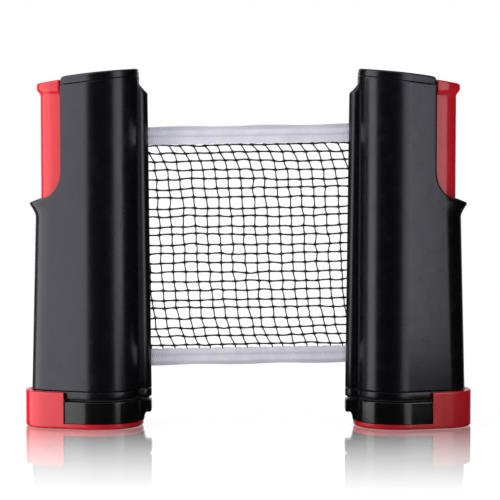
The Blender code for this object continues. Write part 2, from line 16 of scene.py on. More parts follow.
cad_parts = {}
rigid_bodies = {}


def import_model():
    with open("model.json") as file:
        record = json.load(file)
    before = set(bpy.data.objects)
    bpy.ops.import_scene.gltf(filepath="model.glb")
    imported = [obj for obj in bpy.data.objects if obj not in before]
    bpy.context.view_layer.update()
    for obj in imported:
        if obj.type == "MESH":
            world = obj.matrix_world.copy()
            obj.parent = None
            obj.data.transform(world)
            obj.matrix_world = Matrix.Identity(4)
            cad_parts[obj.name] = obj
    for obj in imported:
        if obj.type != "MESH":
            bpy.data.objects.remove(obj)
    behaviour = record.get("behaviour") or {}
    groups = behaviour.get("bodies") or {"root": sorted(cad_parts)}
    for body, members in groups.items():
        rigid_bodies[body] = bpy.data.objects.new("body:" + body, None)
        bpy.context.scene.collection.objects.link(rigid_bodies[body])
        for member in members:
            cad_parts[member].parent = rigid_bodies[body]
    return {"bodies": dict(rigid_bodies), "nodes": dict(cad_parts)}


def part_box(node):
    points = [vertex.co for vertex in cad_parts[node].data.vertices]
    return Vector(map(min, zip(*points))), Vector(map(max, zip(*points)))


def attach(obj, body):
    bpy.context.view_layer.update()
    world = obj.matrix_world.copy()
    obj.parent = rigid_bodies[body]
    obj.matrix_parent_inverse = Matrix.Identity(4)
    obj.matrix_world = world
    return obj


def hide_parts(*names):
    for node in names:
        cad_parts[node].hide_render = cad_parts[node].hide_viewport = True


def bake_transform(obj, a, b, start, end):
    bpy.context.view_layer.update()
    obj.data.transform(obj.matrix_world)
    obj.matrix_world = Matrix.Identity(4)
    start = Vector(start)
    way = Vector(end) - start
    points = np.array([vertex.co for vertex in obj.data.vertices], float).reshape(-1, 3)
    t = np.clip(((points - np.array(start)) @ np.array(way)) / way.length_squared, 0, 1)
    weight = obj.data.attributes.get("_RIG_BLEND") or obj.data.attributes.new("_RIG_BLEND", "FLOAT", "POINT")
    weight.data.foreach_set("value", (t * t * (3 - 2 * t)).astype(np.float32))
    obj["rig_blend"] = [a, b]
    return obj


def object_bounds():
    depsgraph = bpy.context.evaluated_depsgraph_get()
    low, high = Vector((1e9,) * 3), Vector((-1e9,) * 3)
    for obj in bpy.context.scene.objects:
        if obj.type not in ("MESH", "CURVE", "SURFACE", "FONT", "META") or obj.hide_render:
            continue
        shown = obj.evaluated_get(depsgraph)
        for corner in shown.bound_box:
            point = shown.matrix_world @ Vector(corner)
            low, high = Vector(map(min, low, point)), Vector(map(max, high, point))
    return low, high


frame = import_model()
cad_low, cad_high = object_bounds()

# ---- sizes, from the frame ----
GAP = 0.0003
SIDES = {"left": -1, "right": 1}
FOOT_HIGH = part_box("right_clamp_foot")[1]
COVER_LOW, COVER_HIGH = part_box("right_bottom_cover")
SHELL_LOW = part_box("right_rear_shell")[0]
BLOCK_LOW, BLOCK_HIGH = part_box("right_jaw_block")
PAD_LOW, PAD_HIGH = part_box("right_upper_jaw_pad")
COLUMN_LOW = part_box("right_clamp_column")[0]
NET_LOW, NET_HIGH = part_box("net_mesh")
TOP_TAPE_LOW, TOP_TAPE_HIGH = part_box("net_top_tape")
BOTTOM_TAPE_LOW, BOTTOM_TAPE_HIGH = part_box("net_bottom_tape")
ROLL_LOW, ROLL_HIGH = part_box("net_roll")
FIN_END_LOW = 0.0002
FACE_X = SHELL_LOW.x - FIN_END_LOW  # the post's net face

# plan section: a large circle and a small one joined by flats, both drafted with height
BARREL_OUT = 0.0297
DRAFT_LOW_Z, DRAFT_HIGH_Z = 0.025, 0.215
BARREL_R = (0.0229, 0.0223)
TAIL_OUT = (0.0606, 0.0540)
TAIL_R = (0.0146, 0.0160)
POST_LEAN, BLOCK_LEAN, FOOT_LEAN = math.radians(18), math.radians(15), math.radians(14)
FACE_TURN = math.radians(19)  # where the barrel's circle gives way to the flatter arc
SEAM_Z, SEAM_OUT, SEAM_SLOPE = 0.2184, 0.0085, 0.1237
CASING_EDGE, SEAM_EDGE = 0.0004, 0.0003
CAP_THICK, CAP_DRAFT, CAP_DRAFT_TALL, CAP_EDGE = 0.0044, 0.0005, 0.0024, 0.0013
CAP_ROLL, CAP_ROLL_OUT = 0.0008, 0.0510
CAP_CROWN, CAP_CROWN_OUT, CAP_CROWN_SPAN = 0.0008, 0.012, 0.060
SPIGOT_LOW_Z, SPIGOT_HIGH_Z, AXLE_POCKET_R, AXLE_LOW_Z, AXLE_HIGH_Z = 0.2070, 0.2176, 0.0040, 0.0212, 0.2120

# net outlet, roller chamber and clamp column
FIN_NOSE_R, FIN_NOSE_Y = 0.0060, 0.0003  # radius of each lip, and how far its centre is from the middle
FIN_SIDE_LEAN, FIN_ROOT_OUT = math.radians(15), 0.0145
FIN_END_HIGH, FIN_TOP_END_Z, FIN_CREST_OUT, FIN_CREST_Z = 0.0022, 0.2083, 0.0066, 0.2105
FIN_FILLET_WIDE, FIN_FILLET_TALL, FIN_TOP_EDGE = 0.0012, 0.0040, 0.0015
SLOT_HALF_WIDTH, SLOT_BOTTOM, SLOT_TOP = 0.00125, 0.032, 0.191
CHAMBER_R = 0.0190
COLUMN_OUT, COLUMN_R, COLUMN_INNER, COLUMN_LEAN = 0.0592, 0.0096, 0.0543, math.radians(12)
COLUMN_CORNER, COLUMN_CLEARANCE = 0.0006, 0.0004
NECK_Z, NECK_TALL = 0.2058, 0.0046
HEAD_R, HEAD_INNER, HEAD_TOP_Z, HEAD_SLOPE, HEAD_EDGE = 0.0120, 0.0559, 0.2162, 0.17, 0.0014
DISH_INSET, DISH_DEPTH = 0.0034, 0.0001
CUT_OUT, CUT_ROUND, NOTCH_WIDE, NOTCH_DEEP, NOTCH_TOP_Z = 0.0555, 0.0011, 0.0138, 0.0175, 0.1600
NOTCH_LIP_OUT, NOTCH_LIP_Z = 0.0780, 0.1390
LEDGE_START_Z, LEDGE_TIP_Z, LEDGE_HOLD_Z, LEDGE_END_Z = 0.1310, 0.1396, 0.1408, 0.1436
LEDGE_FLARE, LEDGE_BLUNT = 0.0047, 0.0008
SHELF_OUT, SHELF_HALF_WIDTH, SHELF_BOTTOM, SHELF_TOP = 0.0634, 0.0036, 0.0700, 0.0730
CHANNEL_OUT, CHANNEL_HALF_WIDTH, CHANNEL_BOTTOM, CHANNEL_TOP = 0.0648, 0.0042, 0.0690, 0.1500

# foot and jaw
PLATE_TOP, HEEL_OUT, HEEL_TOP, COLLAR_CLEARANCE = 0.0034, 0.0540, 0.0169, 0.0005
FOOT_BARREL_R, FOOT_TAIL_OUT, FOOT_TAIL_R = 0.0244, 0.0606, 0.0186
FOOT_EDGE_LOW, FOOT_EDGE_HIGH = 0.0016, 0.0006
BLOCK_BARREL_R, BLOCK_TAIL_R, BLOCK_OUTER, BLOCK_EDGE, BLOCK_CORNER = 0.0236, 0.0172, 0.0535, 0.0005, 0.0004
NOSE_BOTTOM, NOSE_ROOT_OUT, NOSE_HALF_WIDTH, NOSE_EDGE, NOSE_CORNER = 0.0087, 0.0100, 0.0055, 0.0007, 0.0013
PAD_INSET, PAD_OUTER, PAD_CORNER = 0.0013, 0.0528, 0.0006
GROOVE_PITCH, GROOVE_WIDE, GROOVE_DEEP = 0.004, 0.0012, 0.0003

# screws: (out, height) of the four in each casing, and (out, y) of the four under each foot
SHELL_SCREWS = ((0.0513, 0.048), (0.0513, 0.185), (0.0060, 0.1995), (0.0060, 0.0277))
SHELL_SEATS = (0.0105, 0.0105, 0.0042, 0.0042)
SHELL_TIPS = (-0.0085, -0.0085, -0.0046, -0.0046)
FOOT_SCREWS = ((0.0605, 0.0052), (0.0605, -0.0052), (0.0200, 0.0), (0.0440, 0.0))
FOOT_SCREW_LOW, FOOT_SCREW_TIP = 0.0005, 0.0132
SCREW_HEAD_R, SCREW_HEAD_H, SCREW_SHANK_R = 0.0026, 0.0014, 0.00105
SCREW_BORE_R, SCREW_SINK_R = 0.00140, 0.00295
RECESS_ARM, RECESS_HALF, RECESS_DEEP = 0.0014, 0.00026, 0.0008
SPRING_OUT, SPRING_R, CLAMP_WIRE_R, RETRACT_WIRE_R = 0.0599, 0.0029, 0.00035, 0.00045

FAR, UNCUT = 0.04, 1.0
BELOW, ABOVE = -0.01, 0.24

# net: its full length, string spacing, and how far its left end hangs below the right one
NET_LENGTH, NEAR_LENGTH, PITCH_X, ROWS = 1.80, 0.15, 0.0075, 23
NET_SKEW, NET_COVER = 0.0012, 0.66
ROW_R, POST_R, STRING_END_R, KNOT = 0.00051, 0.00040, 0.0002, 1.55
TAPE_HALF, TAPE_INNER = 0.0006, 0.00034
STITCH_DEPTH, STITCH_PITCH, STITCH_LENGTH, STITCH_R = 0.0063, 0.0027, 0.0021, 0.00016
TUBE_R, ROLL_TURNS, ROLL_HALF = 0.0062, 20.8, 0.00012

# stage
CAMERA_PLACE, CAMERA_TARGET, CAMERA_LENS = (0.001, -1.30, 0.200), (0.001, 0.0, 0.110), 150.0
# upright softboxes: (x, y) of both ends, lowest and highest edge, brightness, and if they light matt surfaces
PANELS = {
    "left_panel": ((-0.205, -0.185), (-0.388, 0.110), -0.05, 0.55, 1.75, True),
    "right_front_panel": ((0.210, -0.425), (0.262, -0.298), -0.06, 0.60, 1.30, False),
    "right_panel": ((0.262, -0.298), (0.30, -0.205), 0.01, 0.60, 1.75, False),
}
SKY_SIDE, SKY_ZENITH = 0.03, 1.7
MIRROR_FRONT, MIRROR_BACK, MIRROR_TOP = 0.01, 0.8, 0.8
FLOOR_GLOW, FLOOR_COLOUR, FLOOR_LIGHT, FLOOR_SIZE = 0.66, (0.50, 0.50, 0.50), (0.52, 0.52, 0.52), 12.0
FLOOR_MIRROR, FLOOR_FADE = 0.85, 0.215


# ---- node helpers ----
class Nodes:
    """Short calls for building a node tree."""

    def __init__(self, tree):
        self.tree = tree

    def feed(self, node, inputs):
        """Sets a node's sockets, by name or number, to values or to links from other sockets."""
        for name, value in inputs.items():
            if isinstance(value, bpy.types.NodeSocket):
                self.tree.links.new(value, node.inputs[name])
            else:
                node.inputs[name].default_value = value
        return node

    def add(self, kind, inputs=None, **settings):
        node = self.tree.nodes.new(kind)
        for name, value in settings.items():
            setattr(node, name, value)
        return self.feed(node, inputs or {})

    def math(self, operation, a, b=0.0):
        return self.add("ShaderNodeMath", {0: a, 1: b}, operation=operation).outputs[0]

    def remap(self, value, low, high, to_low, to_high, **settings):
        inputs = {"Value": value, "From Min": low, "From Max": high, "To Min": to_low, "To Max": to_high}
        return self.add("ShaderNodeMapRange", inputs, **settings).outputs["Result"]

    def mapping(self, where, **inputs):
        return self.add("ShaderNodeMapping", {"Vector": where, **inputs}).outputs[0]

    def noise(self, where, scale, detail):
        inputs = {"Vector": where, "Scale": scale, "Detail": detail}
        return self.add("ShaderNodeTexNoise", inputs).outputs["Fac"]

    def wave(self, where, scale, distortion, bands="X", **inputs):
        inputs = {"Vector": where, "Scale": scale, "Distortion": distortion, **inputs}
        return self.add("ShaderNodeTexWave", inputs, bands_direction=bands).outputs["Fac"]

    def attribute(self, name):
        return self.add("ShaderNodeAttribute", attribute_name=name).outputs["Fac"]

    def bump(self, height, distance, strength, **under):
        """A bump; Normal=... is the bump under it."""
        inputs = {"Height": height, "Distance": distance, "Strength": strength, **under}
        return self.add("ShaderNodeBump", inputs).outputs[0]

    def mix_colour(self, factor, a, b):
        """A mix of two colours, each of them a socket or red, green and blue."""
        a, b = (c if isinstance(c, bpy.types.NodeSocket) else (*c, 1) for c in (a, b))
        return self.add("ShaderNodeMix", {0: factor, 6: a, 7: b}, data_type="RGBA").outputs[2]

    def mix_value(self, factor, a, b):
        return self.add("ShaderNodeMix", {"Factor": factor, "A": a, "B": b}, data_type="FLOAT").outputs[0]

    def axis(self, vector, name):
        return self.add("ShaderNodeSeparateXYZ", {"Vector": vector}).outputs[name]

    def vector(self, **parts):
        return self.add("ShaderNodeCombineXYZ", parts).outputs[0]


def geometry_nodes(obj, name):
    """A geometry node group on an object: its nodes, and the geometry that comes in."""
    tree = bpy.data.node_groups.new(name, "GeometryNodeTree")
    for way in ("INPUT", "OUTPUT"):
        tree.interface.new_socket("Geometry", in_out=way, socket_type="NodeSocketGeometry")
    obj.modifiers.new(name, "NODES").node_group = tree
    nodes = Nodes(tree)
    return nodes, nodes.add("NodeGroupInput").outputs["Geometry"]


def new_material(name, fixed):
    """A Principled material with its uniform values set, its nodes, its shader and object coordinates."""
    made = bpy.data.materials.new(name)
    made.use_nodes = True
    nodes = Nodes(made.node_tree)
    shader = nodes.feed(made.node_tree.nodes["Principled BSDF"], fixed)
    return made, nodes, shader, nodes.add("ShaderNodeTexCoord").outputs["Object"]


def moulded(name, colour, worn, roughness, grain, **fixed):
    """Moulded plastic: fine eroded grain, slight flow marks, and a faint change of gloss."""
    made, nodes, shader, where = new_material(name, {"IOR": 1.53, **fixed})
    flow = nodes.noise(nodes.mapping(where, Scale=(1, 1, 0.25)), 38, 3)
    cloud = nodes.noise(where, 120, 4)
    fine = nodes.noise(where, 5200, 2)
    tone = nodes.remap(nodes.math("ADD", flow, cloud), 0.7, 1.3, 0.0, 1.0)
    waves = nodes.bump(flow, 0.0002, 0.25)
    nodes.feed(shader, {
        "Base Color": nodes.mix_colour(tone, colour, worn),
        "Roughness": nodes.remap(cloud, 0.3, 0.7, roughness - 0.03, roughness + 0.04),
        "Normal": nodes.bump(fine, grain, 0.5, Normal=waves),
    })
    return made


def metal(name, colour, roughness, brushed=(1, 1, 1)):
    made, nodes, shader, where = new_material(name, {"Metallic": 1.0})
    streaks = nodes.noise(nodes.mapping(where, Scale=brushed), 900, 3)
    light = tuple(min(1.0, 1.15 * c) for c in colour)
    nodes.feed(shader, {
        "Base Color": nodes.mix_colour(nodes.noise(where, 160, 3), colour, light),
        "Roughness": nodes.remap(streaks, 0.3, 0.7, roughness - 0.06, roughness + 0.1),
        "Normal": nodes.bump(streaks, 0.00002, 0.4),
    })
    return made


def string_material():
    """Black twisted polyester twine with a slight fuzz."""
    fixed = {"Sheen Weight": 0.08, "Sheen Roughness": 0.5, "Specular IOR Level": 0.25}
    made, nodes, shader, where = new_material("net_twine", fixed)
    twist = nodes.mapping(where, Rotation=(0, math.radians(38), 0))
    strands = nodes.wave(twist, 700, 1.5, Detail=1)
    fuzz = nodes.noise(where, 2600, 3)
    nodes.feed(shader, {
        "Base Color": nodes.mix_colour(fuzz, (0.003, 0.003, 0.004), (0.012, 0.012, 0.014)),
        "Roughness": nodes.remap(fuzz, 0.3, 0.7, 0.62, 0.85),
        "Normal": nodes.bump(strands, 0.00012, 0.6),
    })
    return made


def tape_material():
    """Lavender-white polyester webbing: a fine upright rib, crossed by a finer weft, soft shading, and
    painted shade along the fold, the stitch line and the gathers.
    """
    fixed = {"Sheen Weight": 0.8, "Sheen Roughness": 0.5, "Roughness": 0.8, "Specular IOR Level": 0.5}
    made, nodes, shader, where = new_material("net_binding", fixed)
    lean = nodes.mapping(where, Rotation=(0, math.radians(14), 0))
    rib = nodes.wave(lean, 260, 2.5, **{"Detail": 2, "Detail Scale": 0.8})
    rib = nodes.math("MULTIPLY", rib, nodes.attribute("gathered"))
    weft = nodes.wave(where, 900, 1.0, bands="Z")
    cloud = nodes.noise(where, 90, 3)
    shade = nodes.remap(nodes.math("ADD", nodes.math("MULTIPLY", rib, -0.5), cloud), 0.0, 0.6, 0, 1)
    colour = nodes.mix_colour(shade, (0.73, 0.72, 0.88), (0.93, 0.92, 1.00))
    ribs = nodes.bump(rib, 0.00030, 0.8)
    nodes.feed(shader, {
        # Painted shade: a darker colour where the fold-shade attribute is high, along the fold, the stitch
        # line and the gathered ribs.
        "Base Color": nodes.mix_colour(nodes.attribute("creased"), colour, (0.57, 0.56, 0.65)),
        "Normal": nodes.bump(weft, 0.00006, 0.5, Normal=ribs),
    })
    return made


def wound_material():
    """The rolled-up net seen edge on: pale where the tapes lie, black and broken where the strings lie."""
    made, nodes, shader, where = new_material("wound_net", {"Roughness": 0.8})
    height = nodes.axis(where, "Z")
    is_top = nodes.math("GREATER_THAN", height, TOP_TAPE_LOW.z)
    is_bottom = nodes.math("LESS_THAN", height, BOTTOM_TAPE_HIGH.z)
    cells = nodes.noise(where, 420, 3)
    strings = nodes.mix_colour(cells, (0.012, 0.012, 0.014), (0.16, 0.16, 0.19))
    is_tape = nodes.math("MAXIMUM", is_top, is_bottom)
    nodes.feed(shader, {
        "Base Color": nodes.mix_colour(is_tape, strings, (0.66, 0.66, 0.80)),
        "Normal": nodes.bump(cells, 0.0006, 0.6),
    })
    return made


SHINE = {"IOR": 1.56, "Specular Tint": (0.88, 0.86, 1.0, 1)}
SATIN = moulded("casing_black", (0.0022, 0.0022, 0.0028), (0.0032, 0.0032, 0.0038), 0.25, 0.00002, **SHINE)
GLOSS = moulded("jaw_black", (0.0030, 0.0032, 0.0034), (0.0042, 0.0044, 0.0047), 0.16, 0.00001)
RED = moulded("clamp_red", (0.56, 0.004, 0.014), (0.64, 0.007, 0.020), 0.23, 0.00001)
RUBBER = moulded("pad_rubber", (0.012, 0.012, 0.012), (0.020, 0.020, 0.020), 0.62, 0.00008)
NYLON = moulded("bush_nylon", (0.74, 0.73, 0.68), (0.80, 0.79, 0.75), 0.42, 0.00001)
ZINC = metal("screw_zinc", (0.60, 0.60, 0.58), 0.28)
SPRING_STEEL = metal("spring_steel", (0.46, 0.46, 0.47), 0.26, brushed=(1, 1, 6))
TUBE_STEEL = metal("tube_steel", (0.55, 0.55, 0.56), 0.32, brushed=(6, 6, 1))
TWINE = string_material()
BINDING = tape_material()
THREAD = moulded("stitch_thread", (0.52, 0.51, 0.62), (0.64, 0.63, 0.75), 0.6, 0.00004)
WOUND = wound_material()


# ---- mesh helpers ----
def new_object(name, data):
    made = bpy.data.objects.new(name, data)
    bpy.context.scene.collection.objects.link(made)
    return made


def solid(name, points, faces):
    """An object from an array of points and a list of faces, with its faces turned outwards."""
    mesh = bpy.data.meshes.new(name)
    mesh.from_pydata(np.asarray(points, float).reshape(-1, 3).tolist(), [], faces)
    bm = bmesh.new()
    bm.from_mesh(mesh)
    bmesh.ops.recalc_face_normals(bm, faces=bm.faces)
    bm.to_mesh(mesh)
    bm.free()
    return new_object(name, mesh)


def ring_faces(rings, around):
    """Quads between successive closed rings of points that are numbered one after another."""
    ring = np.arange(around)
    after = np.roll(ring, -1)
    corners = np.stack([ring, after, after + around, ring + around], axis=1)
    return (np.arange(rings - 1)[:, None, None] * around + corners).reshape(-1, 4)


def loft(name, rings):
    """A closed solid through rings of points; the first and the last ring are its ends."""
    points = np.array(rings, float)
    count, around, _ = points.shape
    ends = [tuple(range(around))[::-1], tuple(range((count - 1) * around, count * around))]
    return solid(name, points, ring_faces(count, around).tolist() + ends)


def level(outline, z):
    """An (out, y) outline at a height, or at a height for each of its points."""
    return np.column_stack([outline, np.broadcast_to(z, len(outline))])


def stacked(name, plan, rows):
    """A solid through the outlines plan(z, inset) for each (z, inset) of the rows."""
    return loft(name, [level(plan(z, inset), z) for z, inset in rows])


def prism(name, outline, low, high):
    return loft(name, [level(outline, low), level(outline, high)])


def block(name, x0, x1, y0, y1, z0, z1):
    return prism(name, [(x0, y0), (x1, y0), (x1, y1), (x0, y1)], z0, z1)


def arc(centre_out, centre_y, radius, turns):
    return np.column_stack([centre_out + radius * np.cos(turns), centre_y + radius * np.sin(turns)])


def turned(name, profile, steps, centre=(0.0, 0.0)):
    """A closed solid of revolution about Z from (radius, z) points that start and end on the axis."""
    turn = np.linspace(0, math.tau, steps, endpoint=False)
    rings = [level(arc(*centre, radius, turn), z) for radius, z in profile[1:-1]]
    points = np.concatenate([[(*centre, profile[0][1])], *rings, [(*centre, profile[-1][1])]])
    last = len(points) - 1
    faces = (1 + ring_faces(len(rings), steps)).tolist()
    for k in range(steps):
        after = (k + 1) % steps
        faces += [(0, 1 + after, 1 + k), (last, last - steps + k, last - steps + after)]
    return solid(name, points, faces)


def cylinder(name, radius, low, high, steps, centre=(0.0, 0.0)):
    return turned(name, [(0, low), (radius, low), (radius, high), (0, high)], steps, centre)


def tube_points(paths, radii, sides, up):
    """Rings of points round (tubes, points, 3) paths, with one radius or one for each point."""
    ahead = np.gradient(paths, axis=1)
    ahead /= np.linalg.norm(ahead, axis=2, keepdims=True)
    across = np.cross(ahead, up)
    across /= np.linalg.norm(across, axis=2, keepdims=True)
    third = np.cross(across, ahead)
    turn = np.linspace(0, math.tau, sides, endpoint=False)[:, None]
    wheel = across[..., None, :] * np.cos(turn) + third[..., None, :] * np.sin(turn)
    return paths[..., None, :] + wheel * np.asarray(radii)[..., None, None]


def coil_spring(name, centre_x, low, high, turns, radius, wire):
    """A compression spring about a vertical axis whose first and last turns lie closed, as if ground."""
    share = np.linspace(0, 1, turns * 28 + 1)
    closed = 1.0 / turns
    rise = 0.94 * np.clip((share - closed) / (1 - 2 * closed), 0, 1) + 0.06 * share
    low, high = low + wire, high - wire
    path = level(arc(centre_x, 0, radius, math.tau * turns * share), low + (high - low) * rise)
    return loft(name, tube_points(path[None], wire, 8, (0.0, 0.0, 1.0))[0])


def lying(obj, out, z):
    """Turns a solid made about Z so that its axis runs along Y through (out, z)."""
    for vert in obj.data.vertices:
        x, y, along = vert.co
        vert.co = (x + out, along, z - y)
    return obj


def boolean(target, operation, tools):
    """Applies a Boolean to the target's mesh for each tool in turn, and removes the tools."""
    for tool in tools:
        step = target.modifiers.new(operation.lower(), "BOOLEAN")
        step.operation, step.solver, step.object = operation, "MANIFOLD", tool
        graph = bpy.context.evaluated_depsgraph_get()
        mesh = bpy.data.meshes.new_from_object(target.evaluated_get(graph), depsgraph=graph)
        target.modifiers.clear()
        target.data = mesh
        bpy.data.objects.remove(tool)


def carve(target, *tools):
    boolean(target, "DIFFERENCE", tools)


def join(target, *tools):
    boolean(target, "UNION", tools)


def screw(seat, tip, head_end):
    """A pan-head screw about Z with a cross recess, from its head's outer face to its tip."""
    away = math.copysign(1.0, head_end - seat)
    tall, flat = abs(head_end - seat), 0.55
    profile = [(0, head_end), (flat * SCREW_HEAD_R, head_end)]
    for share in (0.3, 0.6, 0.85, 1.0):
        dome = head_end - away * tall * flat * (1 - math.sqrt(1 - share**2))
        profile.append((SCREW_HEAD_R * (flat + (1 - flat) * share), dome))
    profile += [(SCREW_HEAD_R, seat), (0.8 * SCREW_SHANK_R, seat)]
    start, end = seat - away * 0.001, tip + away * 0.0016
    ridges = max(4, int(abs(start - end) / 0.0008))
    for k in range(ridges):
        for share, radius in ((0.15, 0.8), (0.5, 1.0), (0.85, 0.8)):
            profile.append((radius * SCREW_SHANK_R, start + (end - start) * (k + share) / ridges))
    profile += [(0.35 * SCREW_SHANK_R, tip), (0, tip)]
    made = turned("screw", profile, 32)
    low, high = sorted((head_end - away * RECESS_DEEP, head_end + away * RECESS_DEEP))
    for x, y in ((RECESS_ARM, RECESS_HALF), (RECESS_HALF, RECESS_ARM)):
        carve(made, block("recess", -x, x, -y, y, low, high))
    return made


def finish_piece(obj, skin, body, node, sharp=32):
    """Smooths and paints a finished piece, and mounts it on its body, if it has just one."""
    obj.data.shade_smooth()
    obj.data.set_sharp_from_angle(angle=math.radians(sharp))
    obj.data.materials.clear()
    obj.data.materials.append(skin)
    if body is not None:
        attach(obj, body)
    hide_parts(node)
    return obj


def soft_min(values, limit, radius):
    """The smaller of the values and the limit, with the corner between them rounded over."""
    near = np.clip(0.5 + (limit - values) / (2 * radius), 0, 1)
    return limit * (1 - near) + values * near - radius * near * (1 - near)


def trimmed(outline, limit, radius):
    """An outline cut off square at a distance out, with rounded corners."""
    return np.column_stack([soft_min(outline[:, 0], limit, radius), outline[:, 1]])


def rounding(radius, steps):
    """(inset, drop) pairs round a quarter circle, from the side wall to the top face."""
    turns = np.linspace(0, math.pi / 2, steps + 1)
    return [(radius * (1 - math.cos(t)), radius * (1 - math.sin(t))) for t in turns]


def low_edge(z, radius, steps):
    """(height, inset) pairs up the rounded edge of a solid that starts at z."""
    return [(z + drop, inset) for inset, drop in rounding(radius, steps)[::-1]]


def high_edge(z, radius, steps):
    return [(z - drop, inset) for inset, drop in rounding(radius, steps)]


# ---- post sections ----
def drafted(pair, z):
    return pair[0] + (pair[1] - pair[0]) * (z - DRAFT_LOW_Z) / (DRAFT_HIGH_Z - DRAFT_LOW_Z)


def mirrored(upper):
    """The outline of a section that is alike on both sides, from its upper half."""
    return np.concatenate([upper, upper[::-1] * (1, -1)])


def teardrop(barrel_r, tail_out, tail_r, lean, flare=0.0):
    """Outline points (out, y) round the tail, one flat, the barrel and the other flat.

    The barrel is a circle at the net's side and a flatter arc on the front and the back, up to the flat that
    runs to the tail at the given lean. The arc's extra radius is what makes all of them meet tangentially.
    The flats carry close points near the tail, where the thumb notch cuts across them.
    """
    extra = (tail_out - BARREL_OUT) * math.sin(lean) - (barrel_r - tail_r)
    extra /= 1 - math.cos(FACE_TURN + lean)
    face_out, face_y = BARREL_OUT + extra * math.sin(FACE_TURN), -extra * math.cos(FACE_TURN)
    reach, join_turn = math.pi / 2 - lean, math.pi / 2 + FACE_TURN
    tail_turn = np.linspace(-reach, reach, 73)
    tail = arc(tail_out, 0, tail_r + flare * np.cos(tail_turn * math.pi / 2 / reach) ** 2, tail_turn)
    face = arc(face_out, face_y, barrel_r + extra, np.linspace(reach, join_turn, 24, endpoint=False))
    barrel = arc(BARREL_OUT, 0, barrel_r, np.linspace(join_turn, math.tau - join_turn, 73))
    along = np.concatenate([np.linspace(0, 0.5, 26)[1:], np.linspace(0.5, 1, 7)[1:-1]])[:, None]
    upper = tail[-1] + (face[0] - tail[-1]) * along
    return np.concatenate([tail, upper, face, barrel, face[::-1] * (1, -1), upper[::-1] * (1, -1)])


def post_outline(z, inset=0.0, flare=0.0):
    barrel_r, tail_r = drafted(BARREL_R, z) - inset, drafted(TAIL_R, z) - inset
    return teardrop(barrel_r, drafted(TAIL_OUT, z), tail_r, POST_LEAN, flare)


def top_outline(inset):
    """The casing's outline at its sloping top, where the thumb notch has cut off the tail."""
    return trimmed(post_outline(DRAFT_HIGH_Z, inset), CUT_OUT - inset, CUT_ROUND)


def column_outline(radius, inner):
    """The column's section: a round outer side, flanks that lean out to it, and a flat inner side."""
    turn = np.linspace(COLUMN_LEAN - math.pi / 2, math.pi / 2 - COLUMN_LEAN, 90)
    outer = arc(COLUMN_OUT, 0, radius, turn)
    start_out, start_y = outer[-1]
    along = np.linspace(start_out, inner + COLUMN_CORNER, 7)[1:]
    flank = start_y + (start_out - along) * math.tan(COLUMN_LEAN)
    bend = np.linspace(0, math.pi / 2, 5)[1:]
    bend_out = inner + COLUMN_CORNER * (1 - np.sin(bend))
    bend_y = flank[-1] - COLUMN_CORNER * (1 - np.cos(bend))
    upper = np.column_stack([np.append(along, bend_out), np.append(flank, bend_y)])
    return np.concatenate([outer, mirrored(upper)])


def seam(out):
    return SEAM_Z - (out - SEAM_OUT) * SEAM_SLOPE


def notch_curve():
    """(out, z) down the thumb notch: along the slanted ledge, round the quarter ellipse and up."""
    centre = CUT_OUT + NOTCH_WIDE
    lip, ledge_top = np.array((NOTCH_LIP_OUT, NOTCH_LIP_Z)), (centre, NOTCH_TOP_Z - NOTCH_DEEP)
    slant = lip + (ledge_top - lip) * np.linspace(0, 1, 26, endpoint=False)[:, None]
    turns = np.linspace(math.pi / 2, 0, 44)
    out, z = centre - NOTCH_WIDE * np.cos(turns), NOTCH_TOP_Z - NOTCH_DEEP * np.sin(turns)
    return np.concatenate([slant, np.column_stack([out, z])])


def ledge_flare(z):
    """How far the finger ledge stands out of the tail at a height."""
    full = LEDGE_FLARE - LEDGE_BLUNT
    if z <= LEDGE_TIP_Z:
        rise = max(0.0, (z - LEDGE_START_Z) / (LEDGE_TIP_Z - LEDGE_START_Z)) ** 1.5
        return float(soft_min(LEDGE_FLARE * rise, full, LEDGE_BLUNT))
    return full * max(0.0, min(1.0, (LEDGE_END_Z - z) / (LEDGE_END_Z - LEDGE_HOLD_Z)))


